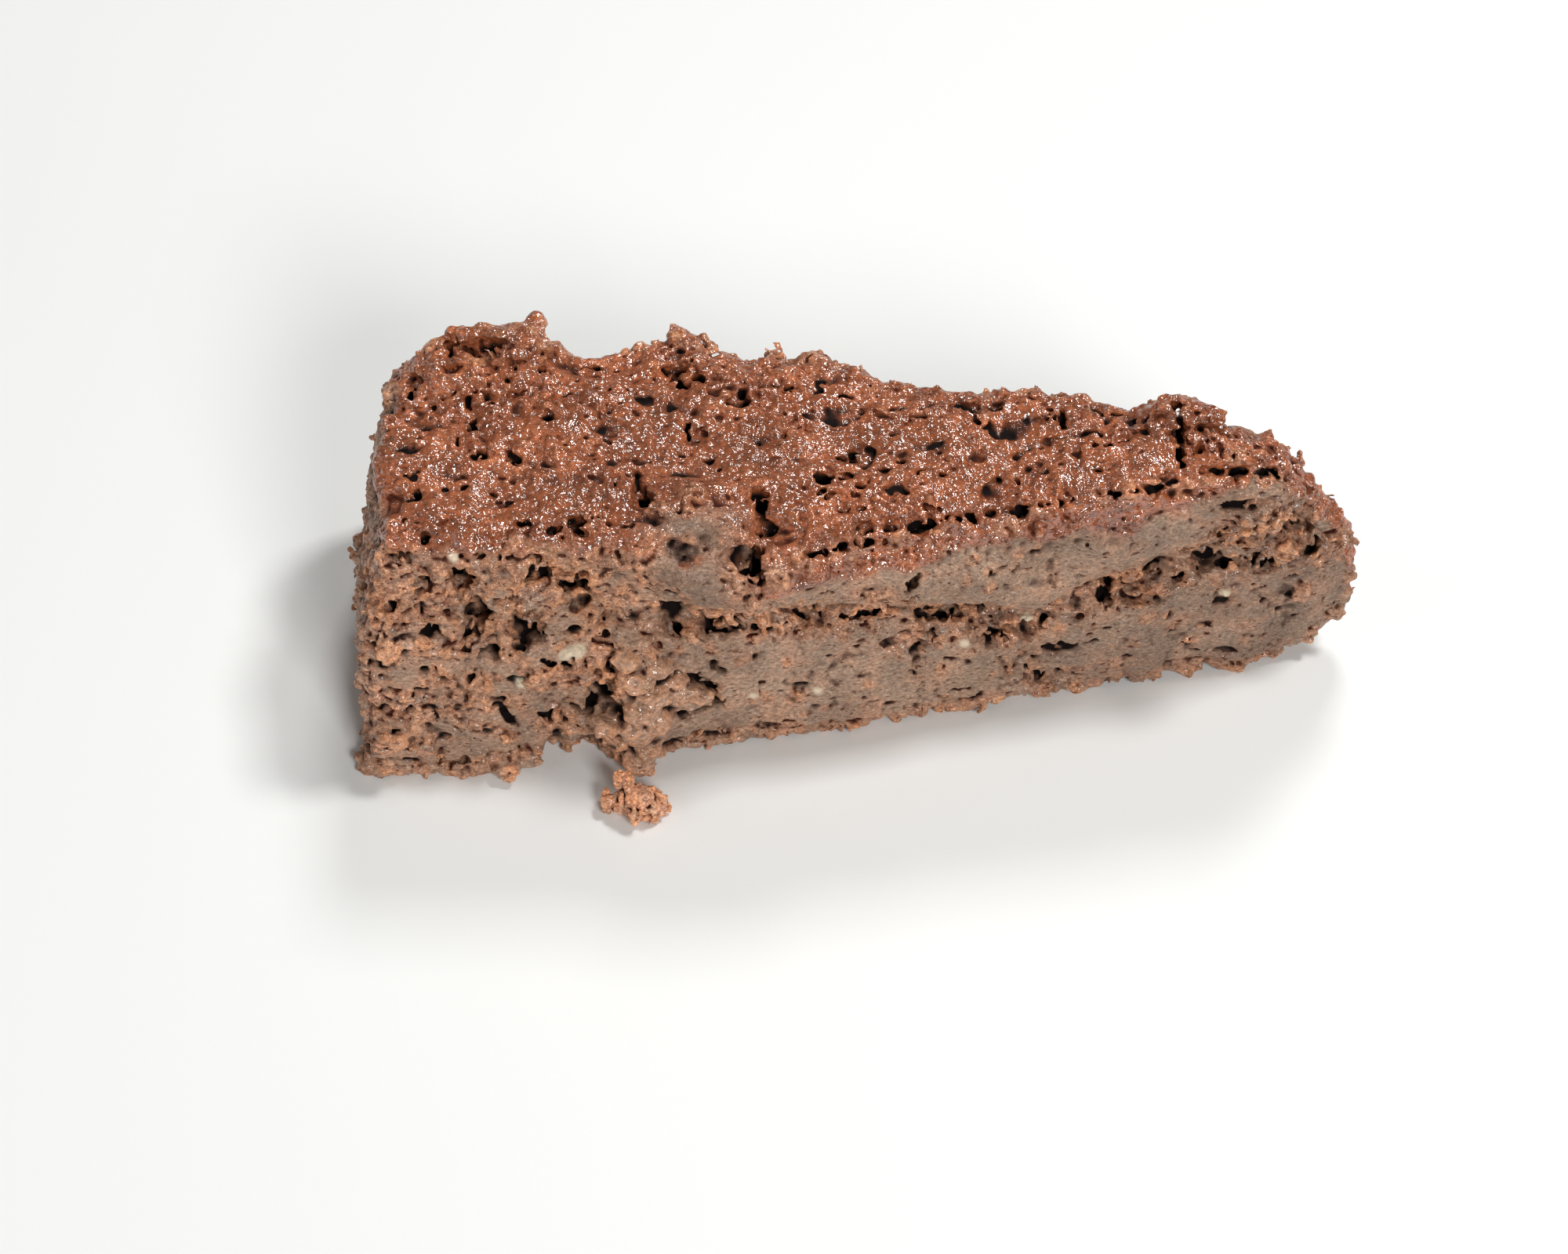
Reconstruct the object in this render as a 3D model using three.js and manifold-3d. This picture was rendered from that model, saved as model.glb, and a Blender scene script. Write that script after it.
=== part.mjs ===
// A slice of dark, moist cake, cut from a round one, with the one crumb that has fallen off its front.
// Millimetres, +Z up. The slice points along +X with its curved rim at -X, its front cut faces -Y, and it
// rests on Z = 0. Everything is laid out from the centre of the whole cake: "along" is the distance from
// that centre, "angle" turns to the front cut (degrees, plus) or the back cut (minus), "up" is the height.
// At the end the parts move together so that the middle of their footprint is the origin.
import * as THREE from "three";
import { mergeVertices } from "three/addons/utils/BufferGeometryUtils.js";
import Module from "manifold-3d";

const wasm = await Module();
wasm.setup();

// ---- Driving dimensions -------------------------------------------------------------------------------
const CAKE_RADIUS = 127; // a cake from a 10 inch round tin
const SLICES_IN_CAKE = 16;
const HALF_ANGLE = 180 / SLICES_IN_CAKE; // degrees from the middle of the slice to either cut
const HEIGHT = 37;
const TIP_ALONG = 6; // the slice ends here, blunt, short of the cake's centre
const RIM_FROM = 100; // from here outwards the rim's lean and bulge grow
const RIM_LEAN = 4.4; // the rim's foot stands out past its top edge
const RIM_BULGE = 1.1; // and the middle of its wall a little more
const RIM_ROUND = 2.6; // rounding of the rim's upright corners
const EDGE_ROUND = 2; // rounding of the long top edges, drawn in by EDGE_DRAW of it
const EDGE_DRAW = 0.3;
const EDGE_MOST = 0.4; // the rounding is at most this share of the half width
const GAP = 0.3; // between two pieces that nearly touch

// The front and back edges are straight but for the rim end, where the cake has settled and its top has
// drawn in, and the tip, whose end slants across to the back. Each row is [along, degrees].
const FRONT_TIP = [[TIP_ALONG, -10], [8, 3], [11, 10], [20, HALF_ANGLE]];
const FRONT_TOP = [...FRONT_TIP, [84, HALF_ANGLE + 0.6], [98, 8.8], [127, 7.3]];
const FRONT_FOOT = [...FRONT_TIP, [95, HALF_ANGLE], [116, 10.4], [127, 9.6]];
const BACK_TIP = [[TIP_ALONG, 32], [9, 20], [14, 15], [20, HALF_ANGLE + 1.5]];
const BACK_TOP = [...BACK_TIP, [74, HALF_ANGLE + 1], [93, HALF_ANGLE + 0.9], [104, 9.9], [127, 8.6]];
const BACK_FOOT = [...BACK_TIP, [105, HALF_ANGLE], [127, 10]];
// Heights of the top and of the underside, which rises at the tip: [along, up].
const TOP_TIP = [[TIP_ALONG, 15], [7.2, 19.5], [9.2, 25.5], [12, 29.4], [15.5, 34.2], [18.5, 37]];
const TOP_LINE = [...TOP_TIP, [23, 38], [30, 38], [38, 37], [100, 37], [127, 36]];
const FOOT_LINE = [[TIP_ALONG, 5.2], [8, 3.6], [11, 2.4], [14.5, 1], [18, 0.2], [21, 0], [127, 0]];
// The crumbly seam between the two layers that the cake baked in, on the front cut: [along, up].
const SEAM_LINE = [[14, 25], [27, 22.5], [38, 20], [48, 15.5], [56, 18], [66, 21], [84, 24.5], [95, 25]];
const SEAM_ENDS = [12, 98]; // it fades out towards both, over SEAM_FADE
const SEAM_FADE = 8;
// Broad forms of the front cut: the seam is torn back, the band above it bulges, the rim end is hollow.
const SEAM = { depth: 2.1, half: 4.5 };
const BAND = { out: 1.9, aboveSeam: 8, half: 7 };
const HOLLOW = { depth: 1.2, along: 108, halfLength: 16, up: 27, halfHeight: 9 };
// Broad forms of the top: a lump at the back of the rim and a slab near the tip, each rising between two
// shares of the way across (0 is the middle, 1 the back edge), on a slight dome.
const RIM_LUMP = { rise: 5.2, along: 114.5, halfLength: 13, from: 0.45, full: 0.8 };
const TIP_SLAB = { rise: 2.2, along: 29, halfLength: 8, from: -0.1, full: 0.4 };
const DOME = 0.7;
// Unevenness of the whole skin: [height, grain], from coarse to fine. It fades out over the thin tip, and
// it's this much of that on the top, the rim's wall and the tip's end.
const ROUGHNESS = [[0.6, 9], [0.5, 4.5], [0.35, 2.6]];
const CALM_TIP = { from: 3, over: 14 };
const ROUGH_SHARE = { top: 0.9, rim: 1.8, tip: -0.4 };

// ---- Small helpers ------------------------------------------------------------------------------------
const clamp01 = (t) => Math.min(1, Math.max(0, t));
const ease = (t) => clamp01(t) ** 2 * (3 - 2 * clamp01(t));
const mix = (a, b, t) => a + (b - a) * t;

// Value at x of the line through knots, given as rows of [x, value].
function lineAt(knots, x) {
  const next = knots.findIndex((knot) => knot[0] >= x);
  if (next === 0) return knots[0][1];
  if (next < 0) return knots[knots.length - 1][1];
  const [x0, v0] = knots[next - 1];
  const [x1, v1] = knots[next];
  return mix(v0, v1, (x - x0) / (x1 - x0));
}

// 1 at the centre of a bump, 0 from its half-width outwards.
const bump = (x, centre, halfWidth) => ease(1 - Math.abs(x - centre) / halfWidth);

function seededRandom(seed) {
  let state = seed;
  return () => {
    state = (Math.imul(state, 1664525) + 1013904223) >>> 0;
    return state / 2 ** 32;
  };
}

// Smooth noise from -1 to 1 on a cubic lattice, the same on every run.
function latticeValue(i, j, k) {
  let h = Math.imul(i, 374761393) ^ Math.imul(j, 668265263) ^ Math.imul(k, 1440662683);
  h = Math.imul(h ^ (h >>> 13), 1274126177);
  return ((h ^ (h >>> 16)) >>> 0) / 2 ** 31 - 1;
}

function noise(x, y, z, grain) {
  const at = [x / grain, y / grain, z / grain];
  const cell = at.map(Math.floor);
  const [u, v, w] = at.map((value, axis) => ease(value - cell[axis]));
  const corner = (i, j, k) => latticeValue(cell[0] + i, cell[1] + j, cell[2] + k);
  const edge = (j, k) => mix(corner(0, j, k), corner(1, j, k), u);
  return mix(mix(edge(0, 0), edge(1, 0), v), mix(edge(0, 1), edge(1, 1), v), w);
}

// A point of the slice from its distance along, its angle in degrees and its height.
function place(along, degrees, up) {
  const angle = THREE.MathUtils.degToRad(degrees);
  return new THREE.Vector3(-along * Math.cos(angle), -along * Math.sin(angle), up);
}

// A closed three.js geometry as a manifold-3d solid, and back.
function solidOf(geometry) {
  const bare = geometry.clone();
  bare.deleteAttribute("normal");
  bare.deleteAttribute("uv");
  const merged = mergeVertices(bare, 1e-4);
  return new wasm.Manifold(
    new wasm.Mesh({
      numProp: 3,
      vertProperties: new Float32Array(merged.attributes.position.array),
      triVerts: new Uint32Array(merged.index.array),
    }),
  );
}

function geometryOf(solid) {
  const mesh = solid.getMesh();
  const geometry = new THREE.BufferGeometry();
  geometry.setAttribute("position", new THREE.BufferAttribute(mesh.vertProperties, 3));
  geometry.setIndex(new THREE.BufferAttribute(mesh.triVerts, 1));
  return geometry;
}

// ---- The body of the slice ----------------------------------------------------------------------------
const ALONG_STEP = 2.5; // between sections
const LAP = { base: 4, front: 13, top: 12, back: 10 }; // points round a section, side by side

// One lap of a section: across is -1 at the front cut and 1 at the back cut, up is 0 to 1.
function sectionLap() {
  const lap = [];
  const side = (count, point) => {
    for (let i = 0; i < count; i++) lap.push(point(i / count));
  };
  side(LAP.base, (t) => ({ across: 1 - 2 * t, up: 0 }));
  side(LAP.front, (t) => ({ across: -1, up: t }));
  side(LAP.top, (t) => ({ across: -1 + 2 * t, up: 1 }));
  side(LAP.back, (t) => ({ across: 1, up: 1 - t }));
  return lap;
}

// How far the front cut stands out (plus) or is torn back (minus) at a place on it.
function frontRelief(along, up) {
  const seam = lineAt(SEAM_LINE, along);
  const inSeam = ease((along - SEAM_ENDS[0]) / SEAM_FADE) * ease((SEAM_ENDS[1] - along) / SEAM_FADE);
  const band = BAND.out * bump(up, seam + BAND.aboveSeam, BAND.half);
  const torn = SEAM.depth * bump(up, seam, SEAM.half);
  const hollowUp = bump(up, HOLLOW.up, HOLLOW.halfHeight);
  const hollow = HOLLOW.depth * bump(along, HOLLOW.along, HOLLOW.halfLength) * hollowUp;
  return inSeam * (band - torn) - hollow;
}

// How far the top is raised at a place on it.
function topRelief(along, across) {
  const risen = (form) => {
    const alongShare = ease(1.5 * bump(along, form.along, form.halfLength));
    return form.rise * alongShare * ease((across - form.from) / (form.full - form.from));
  };
  return risen(RIM_LUMP) + risen(TIP_SLAB) + DOME * (1 - across * across);
}

// A point of the skin. ring runs from 1, the full section, to 0, its centre, to close the two ends.
function skinPoint(section, lapPoint, ring) {
  const across = lapPoint.across * ring;
  const up = mix(0.5, lapPoint.up, ring);
  const nearRim = ease((section - RIM_FROM) / (CAKE_RADIUS - RIM_FROM));
  const along = section + (RIM_LEAN * (1 - up) + RIM_BULGE * Math.sin(Math.PI * up)) * nearRim;
  const front = mix(lineAt(FRONT_FOOT, section), lineAt(FRONT_TOP, section), up);
  const back = -mix(lineAt(BACK_FOOT, section), lineAt(BACK_TOP, section), up);
  const degreesPerMm = THREE.MathUtils.radToDeg(1 / section);
  const halfWidth = (front - back) / 2 / degreesPerMm;
  const round = Math.min(EDGE_ROUND, halfWidth * EDGE_MOST);
  const foot = lineAt(FOOT_LINE, section);
  const top = lineAt(TOP_LINE, section) + topRelief(section, across);

  let degrees = mix(front, back, (across + 1) / 2);
  let height = mix(foot, top, up);
  const intoEdge = clamp01(1 - (halfWidth * (1 - Math.abs(across))) / round);
  const intoTop = clamp01(1 - (top - height) / round);
  height -= intoTop * round * (1 - Math.sqrt(1 - 0.75 * intoEdge * intoEdge));
  degrees += Math.sign(across) * intoEdge * intoTop * EDGE_DRAW * round * degreesPerMm;

  const onFront = lapPoint.across === -1 && lapPoint.up > 0 ? ring : 0;
  const onBack = lapPoint.across === 1 && lapPoint.up > 0 ? ring : 0;
  const onTop = lapPoint.up === 1 ? ring : 0;
  const onEnd = 1 - ring;
  const at = place(along, degrees, height);
  const rough = ROUGHNESS.reduce((sum, [rise, grain]) => sum + rise * noise(at.x, at.y, at.z, grain), 0);
  const calm = ease((section - CALM_TIP.from) / CALM_TIP.over);
  degrees += onFront * (frontRelief(section, height) + rough * calm) * degreesPerMm;
  degrees -= onBack * rough * calm * degreesPerMm;
  const raised = onTop * rough * ROUGH_SHARE.top * calm;
  const pushed = onEnd * rough * (section > CAKE_RADIUS / 2 ? ROUGH_SHARE.rim : ROUGH_SHARE.tip);
  const onFoot = lapPoint.up === 0 && ring === 1;
  return place(along + pushed, degrees, onFoot ? foot : Math.max(height + raised, foot));
}

// Rings that close the rim's wall and round its corners, then the one that closes the tip: [share of the
// full section, how far in from the wall as a share of RIM_ROUND], and [share, mm past the tip].
const RIM_RINGS = [[0.2, 0.03], [0.42, 0.06], [0.62, 0.09], [0.8, 0.12], [0.93, 0.14], [0.98, 0.35]];
const TIP_RING = [0.6, 0.5];

// Sections from the rim to the tip, with rings at both ends that close them.
function sliceBody() {
  const lap = sectionLap();
  const rings = [];
  const addRing = (section, ring) => rings.push(lap.map((point) => skinPoint(section, point, ring)));
  for (const [ring, inward] of RIM_RINGS) addRing(CAKE_RADIUS - RIM_ROUND * inward, ring);
  const steps = Math.round((CAKE_RADIUS - RIM_ROUND - TIP_ALONG) / ALONG_STEP);
  for (let i = 0; i <= steps; i++) addRing(mix(CAKE_RADIUS - RIM_ROUND, TIP_ALONG, i / steps), 1);
  addRing(TIP_ALONG - TIP_RING[1], TIP_RING[0]);

  const positions = [];
  const index = [];
  for (const ring of rings) for (const point of ring) positions.push(point.x, point.y, point.z);
  const count = lap.length;
  for (let i = 0; i + 1 < rings.length; i++) {
    for (let j = 0; j < count; j++) {
      const a = i * count + j;
      const b = i * count + ((j + 1) % count);
      const c = a + count;
      const d = b + count;
      if ((i + j) % 2) index.push(a, c, b, b, c, d);
      else index.push(a, c, d, a, d, b);
    }
  }
  const close = (first, turned) => {
    const middle = new THREE.Vector3();
    for (const point of rings[first]) middle.addScaledVector(point, 1 / count);
    const centre = positions.length / 3;
    positions.push(middle.x, middle.y, middle.z);
    for (let j = 0; j < count; j++) {
      const a = first * count + j;
      const b = first * count + ((j + 1) % count);
      if (turned) index.push(centre, b, a);
      else index.push(centre, a, b);
    }
  };
  close(0, false);
  close(rings.length - 1, true);

  const geometry = new THREE.BufferGeometry();
  geometry.setAttribute("position", new THREE.Float32BufferAttribute(positions, 3));
  geometry.setIndex(index);
  return solidOf(geometry);
}

// ---- Crumbs, pits and tears ---------------------------------------------------------------------------
// A rough ball of few faces: half sizes along, across and up, its corners moved and turned by chance.
function lump(at, half, random, detail = 0, rough = 0.28) {
  const ball = new THREE.IcosahedronGeometry(1, detail);
  ball.deleteAttribute("normal");
  ball.deleteAttribute("uv");
  const merged = mergeVertices(ball, 1e-4);
  const points = merged.attributes.position;
  for (let i = 0; i < points.count; i++) {
    const grow = 1 + rough * (2 * random() - 1);
    points.setXYZ(i, points.getX(i) * grow, points.getY(i) * grow, points.getZ(i) * grow);
  }
  merged.rotateX(random() * 2 * Math.PI).rotateZ(random() * 2 * Math.PI);
  merged.scale(half[0], half[1], half[2]);
  merged.rotateZ(Math.atan2(-at.y, -at.x));
  merged.translate(at.x, at.y, at.z);
  return solidOf(merged);
}

// The height of the top at a place, and the angle of the front or back cut at a height.
function topAt(along, degrees) {
  const limit = degrees > 0 ? lineAt(FRONT_TOP, along) : lineAt(BACK_TOP, along);
  return lineAt(TOP_LINE, along) + topRelief(along, -degrees / limit);
}

function frontAt(along, up) {
  const degrees = mix(lineAt(FRONT_FOOT, along), lineAt(FRONT_TOP, along), clamp01(up / HEIGHT));
  return degrees + THREE.MathUtils.radToDeg(frontRelief(along, up) / along);
}

function backAt(along, up) {
  return -mix(lineAt(BACK_FOOT, along), lineAt(BACK_TOP, along), clamp01(up / HEIGHT));
}

// Pits in the top: [along, degrees, half length, half width, depth].
const TOP_PITS = [
  [117, -6.6, 4.2, 1.3, 2.6], [111.8, -6, 1.2, 1.3, 2.4], [123.3, -4.4, 0.9, 0.8, 1.6],
  [114.3, -4.2, 1.4, 0.8, 1.8], [115.5, -2.2, 1, 0.9, 1.6], [122.2, 3.3, 0.9, 1, 1.6],
  [105.8, 2.3, 0.9, 0.9, 1.6], [102.6, 7.2, 4.2, 1.1, 2.2], [104.7, -0.3, 0.8, 1, 1.5],
  [91.6, -7.8, 2.8, 2.1, 2.6], [83.8, -6.2, 0.7, 1.6, 2], [78.2, -8.7, 0.8, 1.8, 2],
  [80.6, -1.1, 0.9, 0.9, 1.7], [89.1, -1.5, 1, 0.8, 1.6], [95, 4.8, 1.6, 1.5, 2.2],
  [73.2, 3.6, 1.7, 1.4, 2.6], [81.1, 6.5, 1.1, 1.5, 3], [66.6, -7.4, 1, 1, 1.8],
  [62.4, -4.4, 0.9, 0.9, 1.7], [39, -1.8, 0.9, 0.8, 1.6], [38.6, 3.6, 1.4, 1.1, 1.8],
  [44.3, -6.4, 1.2, 0.9, 1.8], [30.2, -1, 0.8, 3.2, 2.2],
];
// The hollow broken into the top's front edge, as lumps taken away: [along, degrees, up, ...half sizes].
const CRATER = [
  [91.5, 10.6, 38.5, 6.2, 5, 4.2], [85.6, 12.8, 36.5, 3, 4.4, 4.2],
  [83.6, 11.4, 33.5, 2, 4.5, 2.6], [80.6, 9.6, 38.2, 2.2, 3.6, 2.8],
];
// Holes and torn pockets in the front cut: [along, up, half length, half height, depth].
const FRONT_HOLES = [
  [117.5, 31.1, 1.8, 2, 4], [115.8, 26, 1.8, 2.2, 4.4], [110, 24.2, 2.2, 1.5, 4],
  [106.8, 31.2, 3.4, 1.7, 3.2], [103.9, 27.8, 1.2, 1.4, 3], [124.6, 34.6, 1.2, 0.9, 2.6],
  [126.2, 28.5, 1, 1, 2.6], [121.8, 32, 1.5, 0.9, 2.6], [114.9, 20.4, 1.8, 0.8, 2.8],
  [116.4, 17.8, 1.2, 0.9, 2.4], [113.7, 11.4, 0.9, 2.2, 2.2], [101, 25.4, 1.8, 1, 2.6],
  [87.6, 16.2, 1.1, 1.1, 3.4], [88, 22.8, 4.8, 1.1, 3.8], [78.6, 25.4, 1.3, 1, 3.4],
  [76, 23.8, 1.9, 1.1, 3.8], [66.1, 20.6, 1.4, 1, 3.4], [63.8, 26.4, 1.1, 1.2, 3],
  [60.6, 21, 2.6, 1.1, 4], [57, 18.2, 1.3, 0.8, 3.2], [52.6, 25.8, 1.2, 0.8, 2.4],
  [51.6, 13.2, 2.2, 0.8, 2.8], [46.4, 14.8, 1.6, 0.7, 2.6], [45.8, 18.6, 1.2, 0.9, 2.6],
  [37.4, 20.8, 1.8, 1.1, 3], [27, 22.8, 2.4, 1.3, 3.4], [14, 24.8, 1.4, 1.6, 3],
  [47.2, 4.4, 2, 1.8, 2.4],
];
// The mass smeared down the front by the knife, as flat lumps: [along, up, half length, half height, out].
const FLAP = [
  [97, 16.5, 3.6, 6.2, 2.6], [96, 7, 3, 6.4, 3], [91, 11.6, 3.6, 1.9, 2],
  [101.6, 8.6, 2.2, 2.6, 2.2], [92, 7.4, 2.4, 1.3, 1.8], [97.4, 1.8, 2.6, 2.4, 3.2],
  [98.6, 20.8, 1.8, 2.2, 2],
];
// Larger crumbs that stand proud, at the foot, on the edges and at the tip: [along, degrees, up, half size].
const BIG_CRUMBS = [
  [130.4, 8.4, 1.6, 2], [121.5, 10.9, 1.4, 1.8], [114, 10.9, 1.6, 1.9], [109, 10.4, 2.2, 1.5],
  [48.7, 11.9, 1.4, 1.6], [49.4, 11.6, 6.6, 1.9], [86.6, 11.9, 1, 1.2], [7.4, 0, 20.8, 1.7],
  [6.6, -14, 13.6, 1.3], [12.4, 12, 13.4, 1.4], [127.8, -5.6, 36, 1.1], [126.2, -7, 37.4, 1.1],
  [92.8, -12, 37, 1.2], [75, -12, 36.8, 1.6], [41.9, -12.4, 37.4, 0.9], [54.6, -11.8, 36.8, 1.1],
  [130.6, 0.5, 19, 1.2], [129.6, 4.5, 30, 1], [84, 12.2, 33.2, 1.9], [13, 9, 27, 2.2],
  [10.4, -3, 25, 1.9],
];

// Small crumbs and pits set by chance: how many stand on each side, and how many pits the back cut has.
const CRUMBS = { backEdge: 8, front: 10, back: 7, rim: 5 };
const CRUMB_HALF = [0.8, 1.3];
const BACK_PITS = 9;
const PIT_HALF = { length: [0.9, 2.2], depth: 2.4, height: [0.8, 1.5] };
// Where chance ones may lie, clear of the ends, the foot and the top edges.
const CHANCE_ALONG = [24, 124];
const CHANCE_UP = [4, 34];
// The crack that runs just behind the top's front edge, as lumps a step apart, and the gap under the foot
// beside the flap: [along, half length].
const EDGE_CRACK = { from: 68, to: 30, step: 4.6, degrees: [10.2, 9], half: [3.1, 0.6, 1.7] };
const FOOT_GAP = { places: [[107.6, 2.6], [103.6, 3.4]], degrees: 10.6, up: 1.6, half: [4.6, 4.4] };

function tearOut(body, random) {
  const cuts = [];
  for (const [along, degrees, ...half] of TOP_PITS) {
    cuts.push(lump(place(along, degrees, topAt(along, degrees) + 0.2), half, random));
  }
  for (const [along, degrees, up, ...half] of CRATER) {
    cuts.push(lump(place(along, degrees, up), half, random, 1, 0.12));
  }
  for (const [along, up, halfLength, halfHeight, depth] of FRONT_HOLES) {
    cuts.push(lump(place(along, frontAt(along, up), up), [halfLength, depth, halfHeight], random));
  }
  for (let i = 0; i < BACK_PITS; i++) {
    const along = mix(...CHANCE_ALONG, random());
    const up = mix(...CHANCE_UP, random());
    const half = [mix(...PIT_HALF.length, random()), PIT_HALF.depth, mix(...PIT_HALF.height, random())];
    cuts.push(lump(place(along, backAt(along, up), up), half, random));
  }
  const { from, to, step, degrees: [first, last], half: crackHalf } = EDGE_CRACK;
  for (let along = from; along > to; along -= step) {
    const degrees = mix(first, last, (from - along) / (from - to));
    cuts.push(lump(place(along, degrees, topAt(along, degrees)), crackHalf, random));
  }
  for (const [along, halfLength] of FOOT_GAP.places) {
    cuts.push(lump(place(along, FOOT_GAP.degrees, FOOT_GAP.up), [halfLength, ...FOOT_GAP.half], random));
  }
  return wasm.Manifold.difference([body, ...cuts]);
}

// The flap and all crumbs, joined to the body. Small ones lie by chance along the top's back edge, on both
// cuts and on the rim.
const FLAP_SUNK = 0.4;
const UNDER_EDGE = 1.6;

function addCrumbs(body, random) {
  const added = [];
  for (const [along, up, halfLength, halfHeight, out] of FLAP) {
    const angle = frontAt(along, up) - THREE.MathUtils.radToDeg(FLAP_SUNK / along);
    added.push(lump(place(along, angle, up), [halfLength, out, halfHeight], random, 1, 0.16));
  }
  for (const [along, degrees, up, half] of BIG_CRUMBS) {
    added.push(lump(place(along, degrees, up), [half, half * 0.9, half * 0.8], random));
  }
  const between = ([low, high]) => mix(low, high, random());
  const addSmall = (along, degrees, up) => {
    const size = between(CRUMB_HALF);
    const half = [size * between(CRUMB_HALF), size, size * 0.85];
    added.push(lump(place(along, degrees, up), half, random));
  };
  for (let i = 0; i < CRUMBS.backEdge; i++) {
    const along = between(CHANCE_ALONG);
    const degrees = -lineAt(BACK_TOP, along);
    addSmall(along, degrees, topAt(along, degrees) - UNDER_EDGE);
  }
  for (let i = 0; i < CRUMBS.front; i++) {
    const along = between(CHANCE_ALONG);
    const up = between(CHANCE_UP);
    addSmall(along, frontAt(along, up), up);
  }
  for (let i = 0; i < CRUMBS.back; i++) {
    const along = between(CHANCE_ALONG);
    const up = between(CHANCE_UP);
    addSmall(along, backAt(along, up), up);
  }
  for (let i = 0; i < CRUMBS.rim; i++) {
    const up = between(CHANCE_UP);
    const along = CAKE_RADIUS + RIM_LEAN * (1 - up / HEIGHT) + RIM_BULGE;
    addSmall(along, between([-8, 8]), up);
  }
  return wasm.Manifold.union([body, ...added]);
}

// Everything below Z = 0 taken off, so that the foot is one flat face.
function flatFoot(solid) {
  const side = 4 * CAKE_RADIUS;
  const ground = new THREE.BoxGeometry(side, side, HEIGHT).translate(0, 0, -HEIGHT / 2);
  return solid.subtract(solidOf(ground));
}

// The largest of the bodies in a solid, with any loose scrap dropped.
function mainBody(solid) {
  return solid.decompose().reduce((best, body) => (body.volume() > best.volume() ? body : best));
}

// ---- The crumb that has fallen ------------------------------------------------------------------------
// A clump of rough balls in front of the flap: offsets from its middle [x, y, up, half size].
const FALLEN_AT = place(99.6, 15.5, 0);
const FALLEN = [
  [0, 0, 2.4, 2.9], [-2.4, 0.2, 1.7, 1.9], [2.5, -0.3, 2, 2.1], [0.6, -1.1, 3.2, 2.1],
  [-1.6, 1.6, 4.8, 1.3],
];

function fallenCrumb(random) {
  const balls = FALLEN.map(([x, y, up, half]) => {
    const at = new THREE.Vector3(FALLEN_AT.x + x, FALLEN_AT.y + y, up);
    return lump(at, [half, half * 0.9, half * 0.85], random, 1, 0.16);
  });
  return flatFoot(wasm.Manifold.union(balls));
}

// ---- The part -----------------------------------------------------------------------------------------
const random = seededRandom(20);
const torn = tearOut(sliceBody(), random);
const slice = mainBody(flatFoot(addCrumbs(torn, random)));
const crumb = mainBody(fallenCrumb(random).subtract(slice.translate([0, -GAP, 0])).subtract(slice));

const crumbBrown = new THREE.MeshStandardMaterial({ color: 0x7a4a36, roughness: 0.75, metalness: 0 });
const sliceBrown = new THREE.MeshStandardMaterial({ color: 0x6a4231, roughness: 0.6, metalness: 0 });

const pieces = [
  ["cake_slice", slice, sliceBrown],
  ["fallen_crumb", crumb, crumbBrown],
];
const whole = new THREE.Box3();
const group = new THREE.Group();
for (const [name, solid, material] of pieces) {
  const mesh = new THREE.Mesh(geometryOf(solid), material);
  mesh.name = name;
  group.add(mesh);
  whole.expandByObject(mesh);
}
const middle = whole.getCenter(new THREE.Vector3());
group.position.set(-middle.x, -middle.y, -whole.min.z);

export default group;
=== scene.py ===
"""Looks for a slice of dark, moist cake with a torn front cut, a wet, pitted crust and one fallen crumb.

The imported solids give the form. Each is turned into a grid of distances to its surface, in which crumbs,
pores, cracks and grain are added or taken away, and the result is made into closed meshes again.
Places on the slice are given as in the part's source, from the centre of the whole cake: "along" is the
distance from it in mm, "degrees" turns to the front cut (plus) or the back cut (minus), "up" is the height.
"""

import math

import bpy
import numpy as np
import openvdb
from mathutils import Matrix, Vector
from mathutils.geometry import delaunay_2d_cdt


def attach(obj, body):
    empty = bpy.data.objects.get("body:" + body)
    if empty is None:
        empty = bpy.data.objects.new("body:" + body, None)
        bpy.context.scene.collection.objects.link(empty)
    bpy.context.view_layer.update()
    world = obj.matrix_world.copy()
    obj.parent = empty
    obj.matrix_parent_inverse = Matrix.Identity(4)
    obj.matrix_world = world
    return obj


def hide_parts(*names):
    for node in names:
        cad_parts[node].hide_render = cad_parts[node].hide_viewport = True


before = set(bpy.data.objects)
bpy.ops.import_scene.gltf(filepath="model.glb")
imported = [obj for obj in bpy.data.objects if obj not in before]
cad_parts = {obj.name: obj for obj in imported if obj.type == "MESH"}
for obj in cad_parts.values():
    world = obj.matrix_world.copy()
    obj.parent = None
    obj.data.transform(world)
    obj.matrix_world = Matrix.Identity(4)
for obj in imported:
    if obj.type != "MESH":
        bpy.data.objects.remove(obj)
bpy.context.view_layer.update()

MM = 0.001

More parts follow.
